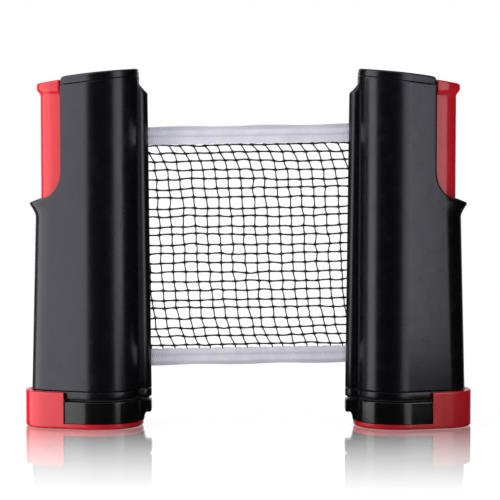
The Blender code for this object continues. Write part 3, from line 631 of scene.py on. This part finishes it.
class Post:
    """Builds one post's pieces in (out, y, z) and carries them to its side."""

    def __init__(self, name):
        self.name = name
        self.side = SIDES[name]
        self.post = f"{name}_post"
        self.clamp = f"{name}_clamp"

    def mount(self, obj, name, skin, body, node, sharp=32):
        """Moves a finished mesh from post coordinates to the frame and finishes it there."""
        points = np.empty(3 * len(obj.data.vertices))
        obj.data.vertices.foreach_get("co", points)
        points[::3] = self.side * (FACE_X + points[::3])
        obj.data.vertices.foreach_set("co", points)
        if self.side < 0:
            obj.data.flip_normals()
        obj.data.update()
        obj.name = f"{self.name}_{name}"
        return finish_piece(obj, skin, body, f"{self.name}_{node}", sharp)

    # -- black casing --
    def casing_blank(self):
        """The whole casing as one solid, with the thumb notch and its rounded rim."""
        start = SHELL_LOW.z
        rows = [(z, inset, UNCUT) for z, inset in low_edge(start, CASING_EDGE, 3)]
        rows += [(z, 0.0, UNCUT) for z in (start + 0.0009, 0.045, 0.090, 0.125)]
        rows += [(z, 0.0, UNCUT) for z in np.linspace(LEDGE_START_Z, NOTCH_LIP_Z - 0.0002, 14)]
        rows += [(z, 0.0, limit) for limit, z in notch_curve()]
        rows += [(z, 0.0, CUT_OUT) for z in (NOTCH_TOP_Z + 0.0008, 0.175, 0.195)]
        rings = []
        for z, inset, limit in rows:
            rings.append(level(trimmed(post_outline(z, inset, ledge_flare(z)), limit, CUT_ROUND), z))
        for inset, drop in ((0.0, 4 * SEAM_EDGE), *rounding(SEAM_EDGE, 3)):
            outline = top_outline(inset)
            rings.append(level(outline, seam(outline[:, 0]) - drop))
        return loft("casing", rings)

    def fin(self, low, high=None, inset=0.0):
        """The net outlet with its two rounded lips; without a height it ends in the sloping top."""
        turns = np.linspace(FIN_SIDE_LEAN, math.pi / 2, 16)
        flank = np.append(FIN_ROOT_OUT, FIN_CREST_OUT + FIN_FILLET_WIDE * np.linspace(1.2, 0.2, 6))

        def plan(z, inset):
            share = max(0.0, (z - SHELL_LOW.z) / (FIN_TOP_END_Z - SHELL_LOW.z))
            end = FIN_END_LOW + (FIN_END_HIGH - FIN_END_LOW) * share
            radius = FIN_NOSE_R - inset
            out, y = end + FIN_NOSE_R - radius * np.sin(turns), FIN_NOSE_Y + radius * np.cos(turns)
            root = y[0] + (flank - out[0]) * math.tan(FIN_SIDE_LEAN)
            return mirrored(np.column_stack([np.append(flank, out), np.append(root, y)]))

        rows = [(z, inset + edge) for z, edge in low_edge(low, CASING_EDGE, 3)]
        if high is not None:
            rows += [(z, inset + edge) for z, edge in high_edge(high, CASING_EDGE, 3)]
            return stacked("fin", plan, rows)
        rows += [(z, 0.0) for z in (low + 0.03, 0.12, 0.19)]
        rings = [level(plan(z, edge), z) for z, edge in rows]
        slope = (FIN_CREST_Z - FIN_TOP_END_Z) / (FIN_CREST_OUT - FIN_END_HIGH)
        for edge, drop in ((0.0, 2 * FIN_TOP_EDGE), *rounding(FIN_TOP_EDGE, 6)):
            outline = plan(FIN_TOP_END_Z, edge)
            out = outline[:, 0]
            top = np.minimum(FIN_TOP_END_Z + slope * (out - FIN_END_HIGH), FIN_CREST_Z)
            fillet = np.clip((out - FIN_CREST_OUT) / FIN_FILLET_WIDE, 0, 1.1) ** 2
            rings.append(level(outline, top + FIN_FILLET_TALL * fillet - drop))
        return loft("fin", rings)

    def column_way(self):
        way = column_outline(COLUMN_R + COLUMN_CLEARANCE, COLUMN_INNER - COLUMN_CLEARANCE)
        return prism("way", way, BELOW, ABOVE)

    def casing_half(self, blank, name, facing):
        made = new_object("half", blank.data.copy())
        low, high = sorted((facing * GAP / 2, facing * FAR))
        boolean(made, "INTERSECT", [block("side", -FAR, 3 * FAR, low, high, BELOW, ABOVE)])
        low, high = sorted((facing * GAP / 2, facing * SHELF_HALF_WIDTH))
        join(made, block("shelf", COLUMN_INNER - 0.002, SHELF_OUT, low, high, SHELF_BOTTOM, SHELF_TOP))
        if facing > 0:
            for (out, z), seat in zip(SHELL_SCREWS, SHELL_SEATS):
                carve(made, lying(cylinder("sink", SCREW_SINK_R, seat - GAP, FAR, 40), out, z))
        self.mount(made, f"casing_{name}", SATIN, self.post, f"{name}_shell")

    def casing(self):
        blank = self.casing_blank()
        join(blank, self.fin(SHELL_LOW.z + 0.0002))
        chamber = cylinder("chamber", CHAMBER_R, BELOW, ABOVE, 96, (BARREL_OUT, 0))
        half = SLOT_HALF_WIDTH
        slot = block("slot", -FAR, FIN_ROOT_OUT, -half, half, SLOT_BOTTOM, SLOT_TOP)
        carve(blank, chamber, self.column_way(), slot)
        self.casing_half(blank, "front", -1)
        self.casing_half(blank, "rear", 1)
        bpy.data.objects.remove(blank)

    def spigot(self, made, low, high, pocket):
        """Adds the round plug that centres a cover in the chamber, and in the left post the axle's pocket."""
        join(made, cylinder("spigot", CHAMBER_R - COLUMN_CLEARANCE, low, high, 96, (BARREL_OUT, 0)))
        if self.side < 0:
            carve(made, cylinder("pocket", AXLE_POCKET_R, *pocket, 48, (BARREL_OUT, 0)))

    def top_cap(self):
        """A lid that follows the sloping seam; its outer end rolls down to the thumb head."""
        edge, rings = 0.0003, []
        levels = ((edge, CAP_THICK), (0.0, CAP_THICK - edge), (CAP_DRAFT, CAP_THICK - CAP_DRAFT_TALL))
        for inset, drop in (*levels, *((CAP_DRAFT + i, d) for i, d in rounding(CAP_EDGE, 6))):
            outline = top_outline(inset)
            out, lift = outline[:, 0], CAP_THICK - drop
            rolled = CAP_ROLL * np.clip((out - CAP_ROLL_OUT) / (CUT_OUT - CAP_ROLL_OUT), 0, 1) ** 2
            crown = CAP_CROWN * np.sin(math.pi * np.clip((out - CAP_CROWN_OUT) / CAP_CROWN_SPAN, 0, 1))
            rings.append(level(outline, seam(out) + GAP + lift + (crown - rolled) * lift / CAP_THICK))
        made = loft("cap", rings)
        self.spigot(made, SPIGOT_LOW_Z, SPIGOT_HIGH_Z, (0.19, AXLE_HIGH_Z))
        self.mount(made, "cap", SATIN, self.post, "top_cap")

    def base_cover(self):
        low, high = COVER_LOW.z, SHELL_LOW.z - GAP
        rows = low_edge(low, CASING_EDGE, 3) + high_edge(high, CASING_EDGE, 3)
        made = stacked("cover", post_outline, rows)
        join(made, self.fin(low, high))
        carve(made, self.column_way())
        self.spigot(made, low + 0.0015, COVER_HIGH.z, (AXLE_LOW_Z, 0.05))
        self.mount(made, "base_cover", SATIN, self.post, "bottom_cover")

    def jaw_pad(self):
        """A thin rubber pad with shallow grip grooves across its lower face."""
        outline = trimmed(post_outline(PAD_HIGH.z, PAD_INSET), PAD_OUTER, PAD_CORNER)
        made = prism("pad", outline, PAD_LOW.z, PAD_HIGH.z)
        join(made, self.fin(PAD_LOW.z, PAD_HIGH.z, PAD_INSET))
        low, high = PAD_LOW.z - 0.001, PAD_LOW.z + GROOVE_DEEP
        for out in np.arange(0.012, 0.052, GROOVE_PITCH):
            carve(made, block("groove", out, out + GROOVE_WIDE, -FAR, FAR, low, high))
        self.mount(made, "jaw_pad", RUBBER, self.post, "upper_jaw_pad")

    # -- red clamp --
    def foot(self):
        """One moulding: a thin plate under the jaw block, a heel behind it and a collar round the casing."""

        def plan(z, inset):
            return teardrop(FOOT_BARREL_R - inset, FOOT_TAIL_OUT, FOOT_TAIL_R - inset, FOOT_LEAN)

        top = FOOT_HIGH.z
        rows = low_edge(0.0, FOOT_EDGE_LOW, 6)
        rows += [(z, 0.0) for z in (0.0022, 0.0100, top - 2 * FOOT_EDGE_HIGH)]
        made = stacked("foot", plan, rows + high_edge(top, FOOT_EDGE_HIGH, 4))
        barrel_r, tail_r = BARREL_R[0] + COLLAR_CLEARANCE, TAIL_R[0] + COLLAR_CLEARANCE
        hollow = teardrop(barrel_r, TAIL_OUT[0], tail_r, POST_LEAN)
        pocket = column_outline(COLUMN_R + GAP, HEEL_OUT - 0.0009)
        carve(
            made,
            block("open", -FAR, HEEL_OUT, -FAR, FAR, PLATE_TOP, FAR),
            prism("hollow", hollow, HEEL_TOP, FAR),
            prism("pocket", pocket, PLATE_TOP, FAR),
        )
        seat = FOOT_SCREW_LOW + SCREW_HEAD_H + GAP
        for place in FOOT_SCREWS:
            bore = [(0, BELOW), (SCREW_SINK_R, BELOW), (SCREW_SINK_R, seat), (SCREW_BORE_R, seat)]
            bore += [(SCREW_BORE_R, 2 * PLATE_TOP), (0, 2 * PLATE_TOP)]
            carve(made, turned("bore", bore, 40, place))
        self.mount(made, "foot", RED, self.clamp, "clamp_foot")

    def pilot_bores(self, made, places):
        for place in places:
            carve(made, cylinder("bore", SCREW_BORE_R, BELOW, FOOT_SCREW_TIP + GAP, 32, place))

    def column(self):
        def head_ring(outline, drop):
            return level(outline, HEAD_TOP_Z - (outline[:, 0] - HEAD_INNER) * HEAD_SLOPE - drop)

        rows = [(COLUMN_R, COLUMN_INNER, z) for z in (COLUMN_LOW.z, 0.1, 0.204)]
        for share in np.linspace(0, 1, 9):  # the neck sweeps out to the head
            swell = share * share * (3 - 2 * share)
            inner = COLUMN_INNER + (HEAD_INNER - COLUMN_INNER) * min(1.0, 2.5 * share)
            rows.append((COLUMN_R + (HEAD_R - COLUMN_R) * swell, inner, NECK_Z + NECK_TALL * share))
        rings = [level(column_outline(radius, inner), z) for radius, inner, z in rows]
        for inset, drop in ((0.0, HEAD_EDGE + 0.001), *rounding(HEAD_EDGE, 6)):
            rings.append(head_ring(column_outline(HEAD_R - inset, HEAD_INNER + 0.3 * inset), drop))
        rings.append(head_ring(column_outline(HEAD_R - DISH_INSET, HEAD_INNER + 0.0016), DISH_DEPTH))
        made = loft("column", rings)
        half = CHANNEL_HALF_WIDTH
        carve(made, block("channel", 0.05, CHANNEL_OUT, -half, half, CHANNEL_BOTTOM, CHANNEL_TOP))
        self.pilot_bores(made, FOOT_SCREWS[:2])
        self.mount(made, "column", RED, self.clamp, "clamp_column")

    def jaw_block(self):
        def plan(z, inset):
            outline = teardrop(BLOCK_BARREL_R - inset, FOOT_TAIL_OUT, BLOCK_TAIL_R - inset, BLOCK_LEAN)
            return trimmed(outline, BLOCK_OUTER - inset, BLOCK_CORNER)

        top = BLOCK_HIGH.z
        rows = [(z, 0.0) for z in (BLOCK_LOW.z, 0.010, top - 2 * BLOCK_EDGE)]
        made = stacked("block", plan, rows + high_edge(top, BLOCK_EDGE, 4))
        low, under, back = BLOCK_LOW.z, NOSE_BOTTOM + 0.0008, NOSE_ROOT_OUT + 0.002
        web = ((0.0030, under), (0.0045, 0.0068), (0.0050, low), (back, low), (back, under))
        half = NOSE_HALF_WIDTH - 0.0010
        join(made, self.nose(), loft("web", [[(out, y, z) for out, z in web] for y in (-half, half)]))
        self.pilot_bores(made, FOOT_SCREWS[2:])
        self.mount(made, "lower_jaw", GLOSS, self.clamp, "jaw_block")

    def nose(self):
        """The small tongue at the block's net end, with every outer corner rounded."""
        low, high, end, r = NOSE_BOTTOM, BLOCK_HIGH.z - 0.0002, FIN_END_LOW, NOSE_CORNER
        turn = np.linspace(0, math.pi / 2, 6)
        rings = []
        for y, inset in low_edge(-NOSE_HALF_WIDTH, NOSE_EDGE, 4) + high_edge(NOSE_HALF_WIDTH, NOSE_EDGE, 4):
            centre = end + inset + r
            lower = [(centre - r * math.sin(t), low + inset + r - r * math.cos(t)) for t in turn]
            upper = [(centre - r * math.cos(t), high - inset - r + r * math.sin(t)) for t in turn]
            side = [(NOSE_ROOT_OUT, low + inset), *lower, *upper, (NOSE_ROOT_OUT, high - inset)]
            rings.append([(out, y, z) for out, z in side])
        return loft("nose", rings)

    # -- fasteners and spring --
    def screws(self):
        for number, ((out, z), seat, tip) in enumerate(zip(SHELL_SCREWS, SHELL_SEATS, SHELL_TIPS), 1):
            made = lying(screw(seat, tip, seat + SCREW_HEAD_H), out, z)
            self.mount(made, f"casing_screw_{number}", ZINC, self.post, f"shell_screw_{number}")
        for number, (out, y) in enumerate(FOOT_SCREWS, 1):
            made = screw(FOOT_SCREW_LOW + SCREW_HEAD_H, FOOT_SCREW_TIP, FOOT_SCREW_LOW)
            made.data.transform(Matrix.Translation((out, y, 0)))
            self.mount(made, f"foot_fixing_{number}", ZINC, self.clamp, f"foot_screw_{number}")

    def clamp_spring(self):
        """The closing spring: its foot stays on the casing's shelf and its head follows the column."""
        low, high = (corner.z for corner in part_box(f"{self.name}_clamp_spring"))
        made = coil_spring("spring", SPRING_OUT, low, high, 12, SPRING_R, CLAMP_WIRE_R)
        self.mount(made, "closing_spring", SPRING_STEEL, None, "clamp_spring", sharp=60)
        x = self.side * (FACE_X + SPRING_OUT)
        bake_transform(made, self.post, self.clamp, start=(x, 0, low + 0.001), end=(x, 0, high - 0.001))

    def build(self):
        self.casing()
        self.top_cap()
        self.base_cover()
        self.jaw_pad()
        self.foot()
        self.column()
        self.jaw_block()
        self.screws()
        self.clamp_spring()


# ---- roller ----
def wound_net():
    """The net on its roller: one long spiral ribbon from the tube outwards."""
    centre_x = (ROLL_LOW.x + ROLL_HIGH.x) / 2
    inner, outer = TUBE_R + 0.0006, (ROLL_HIGH.x - ROLL_LOW.x) / 2 - 0.0002
    share = np.linspace(0, 1, int(ROLL_TURNS * 72) + 1)
    wobble = 0.00008 * np.sin(5 * math.tau * share * 7.3) * share
    radius = np.sqrt(inner**2 + (outer**2 - inner**2) * share) + wobble
    angle = math.tau * ROLL_TURNS * share - math.pi / 2
    low, high = ROLL_LOW.z + 0.0002, ROLL_HIGH.z - 0.0002
    heights = (low, BOTTOM_TAPE_HIGH.z, TOP_TAPE_LOW.z, high)
    side = [(-ROLL_HALF, z) for z in heights] + [(ROLL_HALF, z) for z in heights[::-1]]
    rings = np.stack([level(arc(centre_x, 0, radius + d, angle), z) for d, z in side], axis=1)
    made = finish_piece(loft("wound_net", rings), WOUND, "roller", "net_roll")


def retract_spring():
    low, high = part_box("retract_spring")
    radius = (high.x - low.x) / 2 - RETRACT_WIRE_R
    made = coil_spring("return_spring", (low.x + high.x) / 2, low.z, high.z, 14, radius, RETRACT_WIRE_R)
    finish_piece(made, SPRING_STEEL, "left_post", "retract_spring", sharp=60)


def end_rod():
    """The rod that holds the net's far end inside the right post, with chamfered ends."""
    low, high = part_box("net_end_bar")
    r, chamfer = (high.x - low.x) / 2, 0.0006
    profile = [(0, low.z), (r - chamfer, low.z), (r, low.z + chamfer)]
    profile += [(r, high.z - chamfer), (r - chamfer, high.z), (0, high.z)]
    made = turned("net_end_rod", profile, 40, ((low.x + high.x) / 2, 0.0))
    finish_piece(made, TUBE_STEEL, "right_post", "net_end_bar")


# ---- net ----
def mesh_of_tubes(paths, radii, sides):
    """Many tubes in one mesh; paths is (tubes, points, 3) and radii (tubes, points)."""
    tubes, count, _ = paths.shape
    points = tube_points(paths, radii, sides, (0.0, 1.0, 0.0)).reshape(-1, 3)
    starts = np.arange(tubes)[:, None, None] * count * sides
    return points, (starts + ring_faces(count, sides)).reshape(-1, 4)


def joined(parts):
    """One (points, quads) from several."""
    starts = np.cumsum([0] + [len(points) for points, _ in parts[:-1]])
    quads = [quads + start for (_, quads), start in zip(parts, starts)]
    return np.concatenate([points for points, _ in parts]), np.concatenate(quads)


def pattern_object(name, parts, skins, **shading):
    """A hidden mesh of (points, quads) parts, one skin each, from which the unrolling net takes its shape.

    Each shading array holds a value for the first part's points.
    """
    points, quads = joined(parts)
    mesh = bpy.data.meshes.new(name)
    mesh.vertices.add(len(points))
    mesh.vertices.foreach_set("co", points.astype(np.float32).ravel())
    mesh.loops.add(quads.size)
    mesh.loops.foreach_set("vertex_index", quads.astype(np.int32).ravel())
    mesh.polygons.add(len(quads))
    mesh.polygons.foreach_set("loop_start", np.arange(0, quads.size, 4, dtype=np.int32))
    slots = np.repeat(np.arange(len(parts), dtype=np.int32), [len(part[1]) for part in parts])
    mesh.polygons.foreach_set("material_index", slots)
    mesh.update(calc_edges=True)
    for skin in skins:
        mesh.materials.append(skin)
    mesh.shade_smooth()
    mesh.set_sharp_from_angle(angle=math.radians(50))
    for label, values in shading.items():
        values = np.concatenate([np.ravel(values), np.zeros(len(points) - np.size(values))])
        mesh.attributes.new(label, "FLOAT", "POINT").data.foreach_set("value", values.astype(np.float32))
    made = new_object(name, mesh)
    made.hide_render = True
    return made


def strings_pattern():
    """Every string of the full net, from its far end at x = 0 towards -X, with a knot at each crossing."""
    chance = np.random.default_rng(7)
    past, close = 3, 0.001
    columns = past + int(NET_LENGTH / PITCH_X)
    grid = (columns, ROWS)
    spread_x, spread_y, spread_z, wander, wander_limit = 0.00042, 0.00008, 0.00022, 0.00016, 0.0006
    wave, wave_length, row_bow, post_bow = 0.00035, 0.021, 0.00022, 0.00020
    gaps = np.ones(ROWS - 1)
    gaps[:3] = (0.94, 0.88, 0.97)
    heights = np.concatenate([[0], np.cumsum(gaps)]) / gaps.sum()
    top, bottom = NET_HIGH.z - 0.0002, NET_LOW.z + 0.0013
    row_z = top + (bottom - top) * heights
    interval = np.arange(ROWS - 1)
    lean = 0.03 + 0.40 * np.exp(-interval / 1.9) + 0.27 * np.exp(-(ROWS - 2 - interval) / 2.6)
    shift = np.concatenate([[0], np.cumsum(lean)]) * PITCH_X
    column_x = PITCH_X * (past - 0.70 - np.arange(columns))
    x = column_x[:, None] + shift[None, :] - shift[-1] + chance.normal(0, spread_x, grid)
    x = np.where(x > -close, -close / (2 + np.maximum(x, -close) / close), x)  # gathered at the far end
    slow = np.cumsum(chance.normal(0, wander, grid), axis=0)
    slow -= np.linspace(0, 1, columns)[:, None] * slow[-1]
    drift = wave * np.sin(column_x / wave_length)[:, None] * np.sin(math.pi * heights)
    z = row_z + chance.normal(0, spread_z, grid) + np.clip(slow, -wander_limit, wander_limit) + drift
    knots = np.stack([x, chance.normal(0, spread_y, grid), z], axis=2)

    def thread(ends, thick, bow, across):
        """Paths through successive knots, with a little bow between each two of them."""
        share = np.linspace(0, 1, 4, endpoint=False)[:, None]
        start, end = ends[:, :-1, None], ends[:, 1:, None]
        middle = start * (1 - share) + end * share
        bows = chance.normal(0, bow, middle.shape[:2])
        middle[..., across] += bows[..., None] * np.sin(math.pi * share[:, 0])
        paths = middle.reshape(len(ends), -1, 3)
        radii = np.tile(thick * np.array([KNOT, 0.95, 0.9, 0.95]), ends.shape[1] - 1)
        radii = radii * (1 + chance.normal(0, 0.05, paths.shape[:2]))
        paths = np.concatenate([paths, ends[:, -1:]], axis=1)
        return paths, np.concatenate([radii, np.full((len(ends), 1), thick)], axis=1)

    rows = thread(knots.transpose(1, 0, 2)[:, ::-1], ROW_R, row_bow, 2)
    above, below = (-0.0004, 0, 0.0013), (0.0008, 0, -0.0030)  # ends held inside the bindings
    tails = np.concatenate([knots[:, :1] + above, knots, knots[:, -1:] + below], axis=1)
    posts = thread(tails, POST_R, post_bow, 0)
    posts[1][:, 0] = posts[1][:, -1] = STRING_END_R
    points, quads = joined([mesh_of_tubes(*rows, 6), mesh_of_tubes(*posts, 6)])
    points[:, 0] = np.minimum(points[:, 0], 0.0)
    return pattern_object("strings_pattern", [(points, quads)], [TWINE])


def tape_section(tall):
    """A binding's folded section, (y, depth from the fold): round its outside and then its inside."""
    turn = np.linspace(0, math.pi, 7)
    flank = TAPE_HALF + (tall - TAPE_HALF) * np.linspace(0, 1, 9)[1:]
    fold = TAPE_HALF + 0.0002
    section = [(-TAPE_HALF, depth) for depth in flank[::-1]]
    section += [(-TAPE_HALF * math.cos(t), TAPE_HALF - TAPE_HALF * math.sin(t)) for t in turn]
    section += [(TAPE_HALF, depth) for depth in flank]
    section += [(TAPE_INNER, tall), (TAPE_INNER, fold), (-TAPE_INNER, fold), (-TAPE_INNER, tall)]
    return np.array(section)


def tape_pattern(name, fold, edge):
    """A folded binding along the net's edge, closed at fold and open at edge, gathered near the posts."""
    chance = np.random.default_rng(11 if fold > edge else 12)
    rib, rib_pitch, wave, pucker, seam_half, fold_shade_deep = 0.00013, 0.00135, 0.00011, 0.00022, 0.0006, 0.0024
    fine, coarse = np.arange(0, NEAR_LENGTH, 0.0003), np.arange(NEAR_LENGTH, NET_LENGTH + 0.001, 0.0015)
    along = -np.concatenate([fine, coarse])[:, None]
    tall, down = abs(fold - edge), math.copysign(1.0, edge - fold)
    section = tape_section(tall)
    size = (len(along), len(section))
    depth = np.broadcast_to(section[:, 1], size)
    share = depth / tall
    gathered = np.exp(-np.abs(along) / 0.010) + np.exp(-(((along + 0.124) / 0.011) ** 2))
    phase = chance.uniform(0, math.tau, 6)
    lean = along / rib_pitch - 1.9 * (share - 0.5) * down
    ribs = np.sin(math.tau * lean + phase[0] + 1.5 * np.sin(along / 0.006))
    waves = 0.0
    for start, length in zip(phase[1:], (0.031, 0.017, 0.0095)):
        waves = waves + np.sin(math.tau * along / length + start + 1.2 * share)
    seam_line = np.exp(-(((depth - STITCH_DEPTH) / seam_half) ** 2))
    y = section[:, 0] + rib * gathered * ribs + wave * waves * share
    y = y - pucker * seam_line * np.sign(section[:, 0])
    scallop = 0.00018 * np.sin(math.tau * along / 0.0076 + phase[4])
    scallop += 0.0001 * np.sin(math.tau * along / 0.0031)
    bow = 0.0003 * np.sin(math.tau * along / 0.052 + phase[5])
    crossed = depth + scallop * share**2 + bow * (1 - share)
    points = np.stack([np.broadcast_to(along, size), y, fold + down * crossed], axis=2).reshape(-1, 3)
    # Painted shade: darker in a band along the fold, along the stitch line and on the gathered ribs.
    crease = 0.75 * np.clip((fold_shade_deep - crossed) / seam_half, 0, 1) + 0.6 * seam_line
    crease += 0.5 * gathered * np.maximum(0, ribs) * (0.4 + 0.6 * share)
    return pattern_object(
        name,
        [(points, ring_faces(*size)), stitches(fold, down)],
        [BINDING, THREAD],
        creased=np.clip(crease, 0, 1),
        gathered=np.broadcast_to(0.15 + 0.85 * gathered, size),
    )


def stitches(fold, down):
    """A row of short stitches on both faces of a binding."""
    share = np.linspace(0, 1, 7)
    starts = -np.arange(0.0005, NET_LENGTH - STITCH_PITCH, STITCH_PITCH)
    x = starts[:, None] - STITCH_LENGTH * share
    lift = np.broadcast_to(0.00046 + 0.00016 * np.sin(math.pi * share) ** 0.5, x.shape)
    z = np.full(x.shape, fold + down * STITCH_DEPTH)
    paths = np.concatenate([np.stack([x, face * lift, z], axis=2) for face in (-1, 1)])
    radii = STITCH_R * np.sin(math.pi * (0.12 + 0.76 * share)) ** 0.5
    return mesh_of_tubes(paths, np.broadcast_to(radii, paths.shape[:2]), 5)


def unrolling(name, pattern, node):
    """A piece whose base strip spans the posts; nodes fill it with as much of the pattern as has room.

    The pattern hangs from the strip's right end, and what would lie left of the left end is still wound up.
    """
    z_low, z_high = (corner.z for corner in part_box(node))
    made = block(name, NET_LOW.x, NET_HIGH.x, -0.0004, 0.0004, z_low, z_high)
    start, end = -FACE_X + 0.001, FACE_X - 0.001
    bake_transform(made, "left_post", "right_post", start=(start, 0, z_low), end=(end, 0, z_low))
    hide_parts(node)
    nodes, strip = geometry_nodes(made, f"{name}_unroll")
    limits = nodes.add("GeometryNodeBoundBox", {"Geometry": strip}).outputs
    left, right = nodes.axis(limits["Min"], "X"), nodes.axis(limits["Max"], "X")
    source = nodes.add("GeometryNodeObjectInfo", {"Object": pattern}, transform_space="ORIGINAL")
    along = nodes.axis(nodes.add("GeometryNodeInputPosition").outputs[0], "X")
    weight = nodes.remap(along, start, end, 0.0, 1.0, interpolation_type="SMOOTHSTEP")
    lift = nodes.vector(Z=nodes.remap(along, left, right, -NET_SKEW, NET_SKEW))
    wound = nodes.math("LESS_THAN", along, left)
    stored = {"data_type": "FLOAT", "domain": "POINT"}
    shape = source.outputs["Geometry"]
    for kind, inputs, settings in (
        ("GeometryNodeTransform", {"Translation": nodes.vector(X=right)}, {}),
        ("GeometryNodeDeleteGeometry", {"Selection": wound}, {"domain": "POINT"}),
        ("GeometryNodeSetPosition", {"Offset": lift}, {}),
        ("GeometryNodeStoreNamedAttribute", {"Name": "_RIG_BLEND", "Value": weight}, stored),
    ):
        shape = nodes.add(kind, {"Geometry": shape, **inputs}, **settings).outputs["Geometry"]
    nodes.add("NodeGroupOutput", {"Geometry": shape})
    return made


def net():
    strings = unrolling("net_strings", strings_pattern(), "net_mesh")
    top = tape_pattern("top_pattern", TOP_TAPE_HIGH.z - NET_SKEW, TOP_TAPE_LOW.z)
    bottom = tape_pattern("bottom_pattern", BOTTOM_TAPE_LOW.z + NET_SKEW, BOTTOM_TAPE_HIGH.z)
    bindings = [
        unrolling("net_top_binding", top, "net_top_tape"),
        unrolling("net_bottom_binding", bottom, "net_bottom_tape"),
    ]


# ---- hidden CAD pieces that stay as they are ----
def paint_inner_pieces():
    skins = {
        "roller_tube": TUBE_STEEL, "roller_axle": TUBE_STEEL, "spring_collar": ZINC,
        "roller_top_plug": NYLON, "roller_bottom_plug": NYLON, "top_bush": NYLON, "bottom_bush": NYLON,
    }
    for name, skin in skins.items():
        mesh = frame["nodes"][name].data
        mesh.materials.clear()
        mesh.materials.append(skin)


# ---- stage: floor, world, lights and camera ----
def floor_material():
    """Pale and faintly glowing, with a polish that fades away from the object."""
    skin = bpy.data.materials.new("pale_floor")
    skin.use_nodes = True
    nodes = Nodes(skin.node_tree)
    skin.node_tree.nodes.remove(skin.node_tree.nodes["Principled BSDF"])
    where = nodes.add("ShaderNodeTexCoord").outputs["Object"]
    colour = nodes.mix_colour(nodes.noise(where, 60, 3), FLOOR_COLOUR, FLOOR_LIGHT)
    matt = nodes.add("ShaderNodeBsdfDiffuse", {"Color": colour})
    glow = nodes.add("ShaderNodeEmission", {"Strength": FLOOR_GLOW})
    pale = nodes.add("ShaderNodeAddShader", {0: matt.outputs[0], 1: glow.outputs[0]})
    polish = nodes.add("ShaderNodeBsdfGlossy", {"Color": (1, 1, 1, 1), "Roughness": 0.0})
    squares = []
    for axis, half in (("X", cad_high.x), ("Y", cad_high.y)):
        past = nodes.math("SUBTRACT", nodes.math("ABSOLUTE", nodes.axis(where, axis)), half)
        past = nodes.math("MAXIMUM", past, 0.0)
        squares.append(nodes.math("MULTIPLY", past, past))
    away = nodes.math("SQRT", nodes.math("ADD", *squares))
    share = nodes.remap(away, 0.0, FLOOR_FADE, FLOOR_MIRROR, 0.0)
    both = nodes.add("ShaderNodeMixShader", {0: share, 1: pale.outputs[0], 2: polish.outputs[0]})
    nodes.feed(skin.node_tree.nodes["Material Output"], {"Surface": both.outputs[0]})
    return skin


def floor():
    """A floor that lies under the lowest foot, so that an opened clamp still stands on it."""
    size = FLOOR_SIZE
    corners = [(-size, -size, 0), (size, -size, 0), (size, size, 0), (-size, size, 0)]
    made = solid("floor", corners, [(0, 1, 2, 3)])
    made.data.materials.append(floor_material())
    nodes, start = geometry_nodes(made, "floor_height")
    heights = []
    for side in SIDES:
        body = nodes.add("GeometryNodeObjectInfo", {"Object": frame["bodies"][f"{side}_clamp"]})
        heights.append(nodes.axis(body.outputs["Location"], "Z"))
    drop = nodes.vector(Z=nodes.math("SUBTRACT", nodes.math("MINIMUM", *heights), 0.0002))
    moved = nodes.add("GeometryNodeTransform", {"Geometry": start, "Translation": drop})
    nodes.add("NodeGroupOutput", {"Geometry": moved.outputs["Geometry"]})
    made.visible_glossy = made.visible_shadow = False


def world():
    """White to the camera and in the floor's polish; elsewhere a light sky, and a dim room to reflect."""
    made = bpy.data.worlds.new("studio")
    bpy.context.scene.world = made
    made.use_nodes = True
    nodes = Nodes(made.node_tree)
    direction = nodes.add("ShaderNodeTexCoord").outputs["Generated"]
    up, back = nodes.axis(direction, "Z"), nodes.axis(direction, "Y")
    sky = nodes.remap(up, 0.70, 0.86, SKY_SIDE, SKY_ZENITH)
    backdrop = nodes.remap(back, 0.80, 0.92, MIRROR_FRONT, MIRROR_BACK)
    ceiling = nodes.remap(up, 0.60, 0.90, MIRROR_FRONT, MIRROR_TOP)
    ray = nodes.add("ShaderNodeLightPath").outputs
    seen = nodes.math("MAXIMUM", ray["Is Camera Ray"], ray["Is Singular Ray"])
    room = nodes.math("MAXIMUM", backdrop, ceiling)
    light = nodes.mix_value(seen, nodes.mix_value(ray["Is Diffuse Ray"], room, sky), 1.0)
    nodes.feed(made.node_tree.nodes["Background"], {"Strength": light, "Color": (1, 1, 1, 1)})
    made.cycles.sampling_method = "NONE"


def aimed(name, data, place, direction):
    """A light or camera at a place, looking in a direction."""
    made = new_object(name, data)
    made.location = place
    made.rotation_euler = direction.to_track_quat("-Z", "Y").to_euler()
    return made


def panel(name, start, end, low, high, brightness, lights_matt):
    """An upright softbox between two points in plan, shining towards the object."""
    middle = Vector(((start[0] + end[0]) / 2, (start[1] + end[1]) / 2, (low + high) / 2))
    along = Vector((end[0] - start[0], end[1] - start[1], 0))
    facing = Vector((along.y, -along.x, 0))
    if facing.dot(middle) > 0:
        facing.negate()
    data = bpy.data.lights.new(name, "AREA")
    data.shape, data.size, data.size_y = "RECTANGLE", along.length, high - low
    data.energy = 4 * brightness * data.size * data.size_y
    made = aimed(name, data, middle, facing)
    made.visible_camera = False
    made.visible_diffuse = lights_matt


def camera():
    data = bpy.data.cameras.new("camera")
    data.lens, data.sensor_width = CAMERA_LENS, 36.0
    data.clip_start, data.clip_end = 0.01, 60.0
    direction = Vector(CAMERA_TARGET) - Vector(CAMERA_PLACE)
    bpy.context.scene.camera = aimed("camera", data, CAMERA_PLACE, direction)


for side_name in SIDES:
    Post(side_name).build()
wound_net()
retract_spring()
end_rod()
net()
paint_inner_pieces()
floor()
world()
for panel_name, places in PANELS.items():
    panel(panel_name, *places)
camera()
bpy.context.scene.view_settings.view_transform = "Standard"
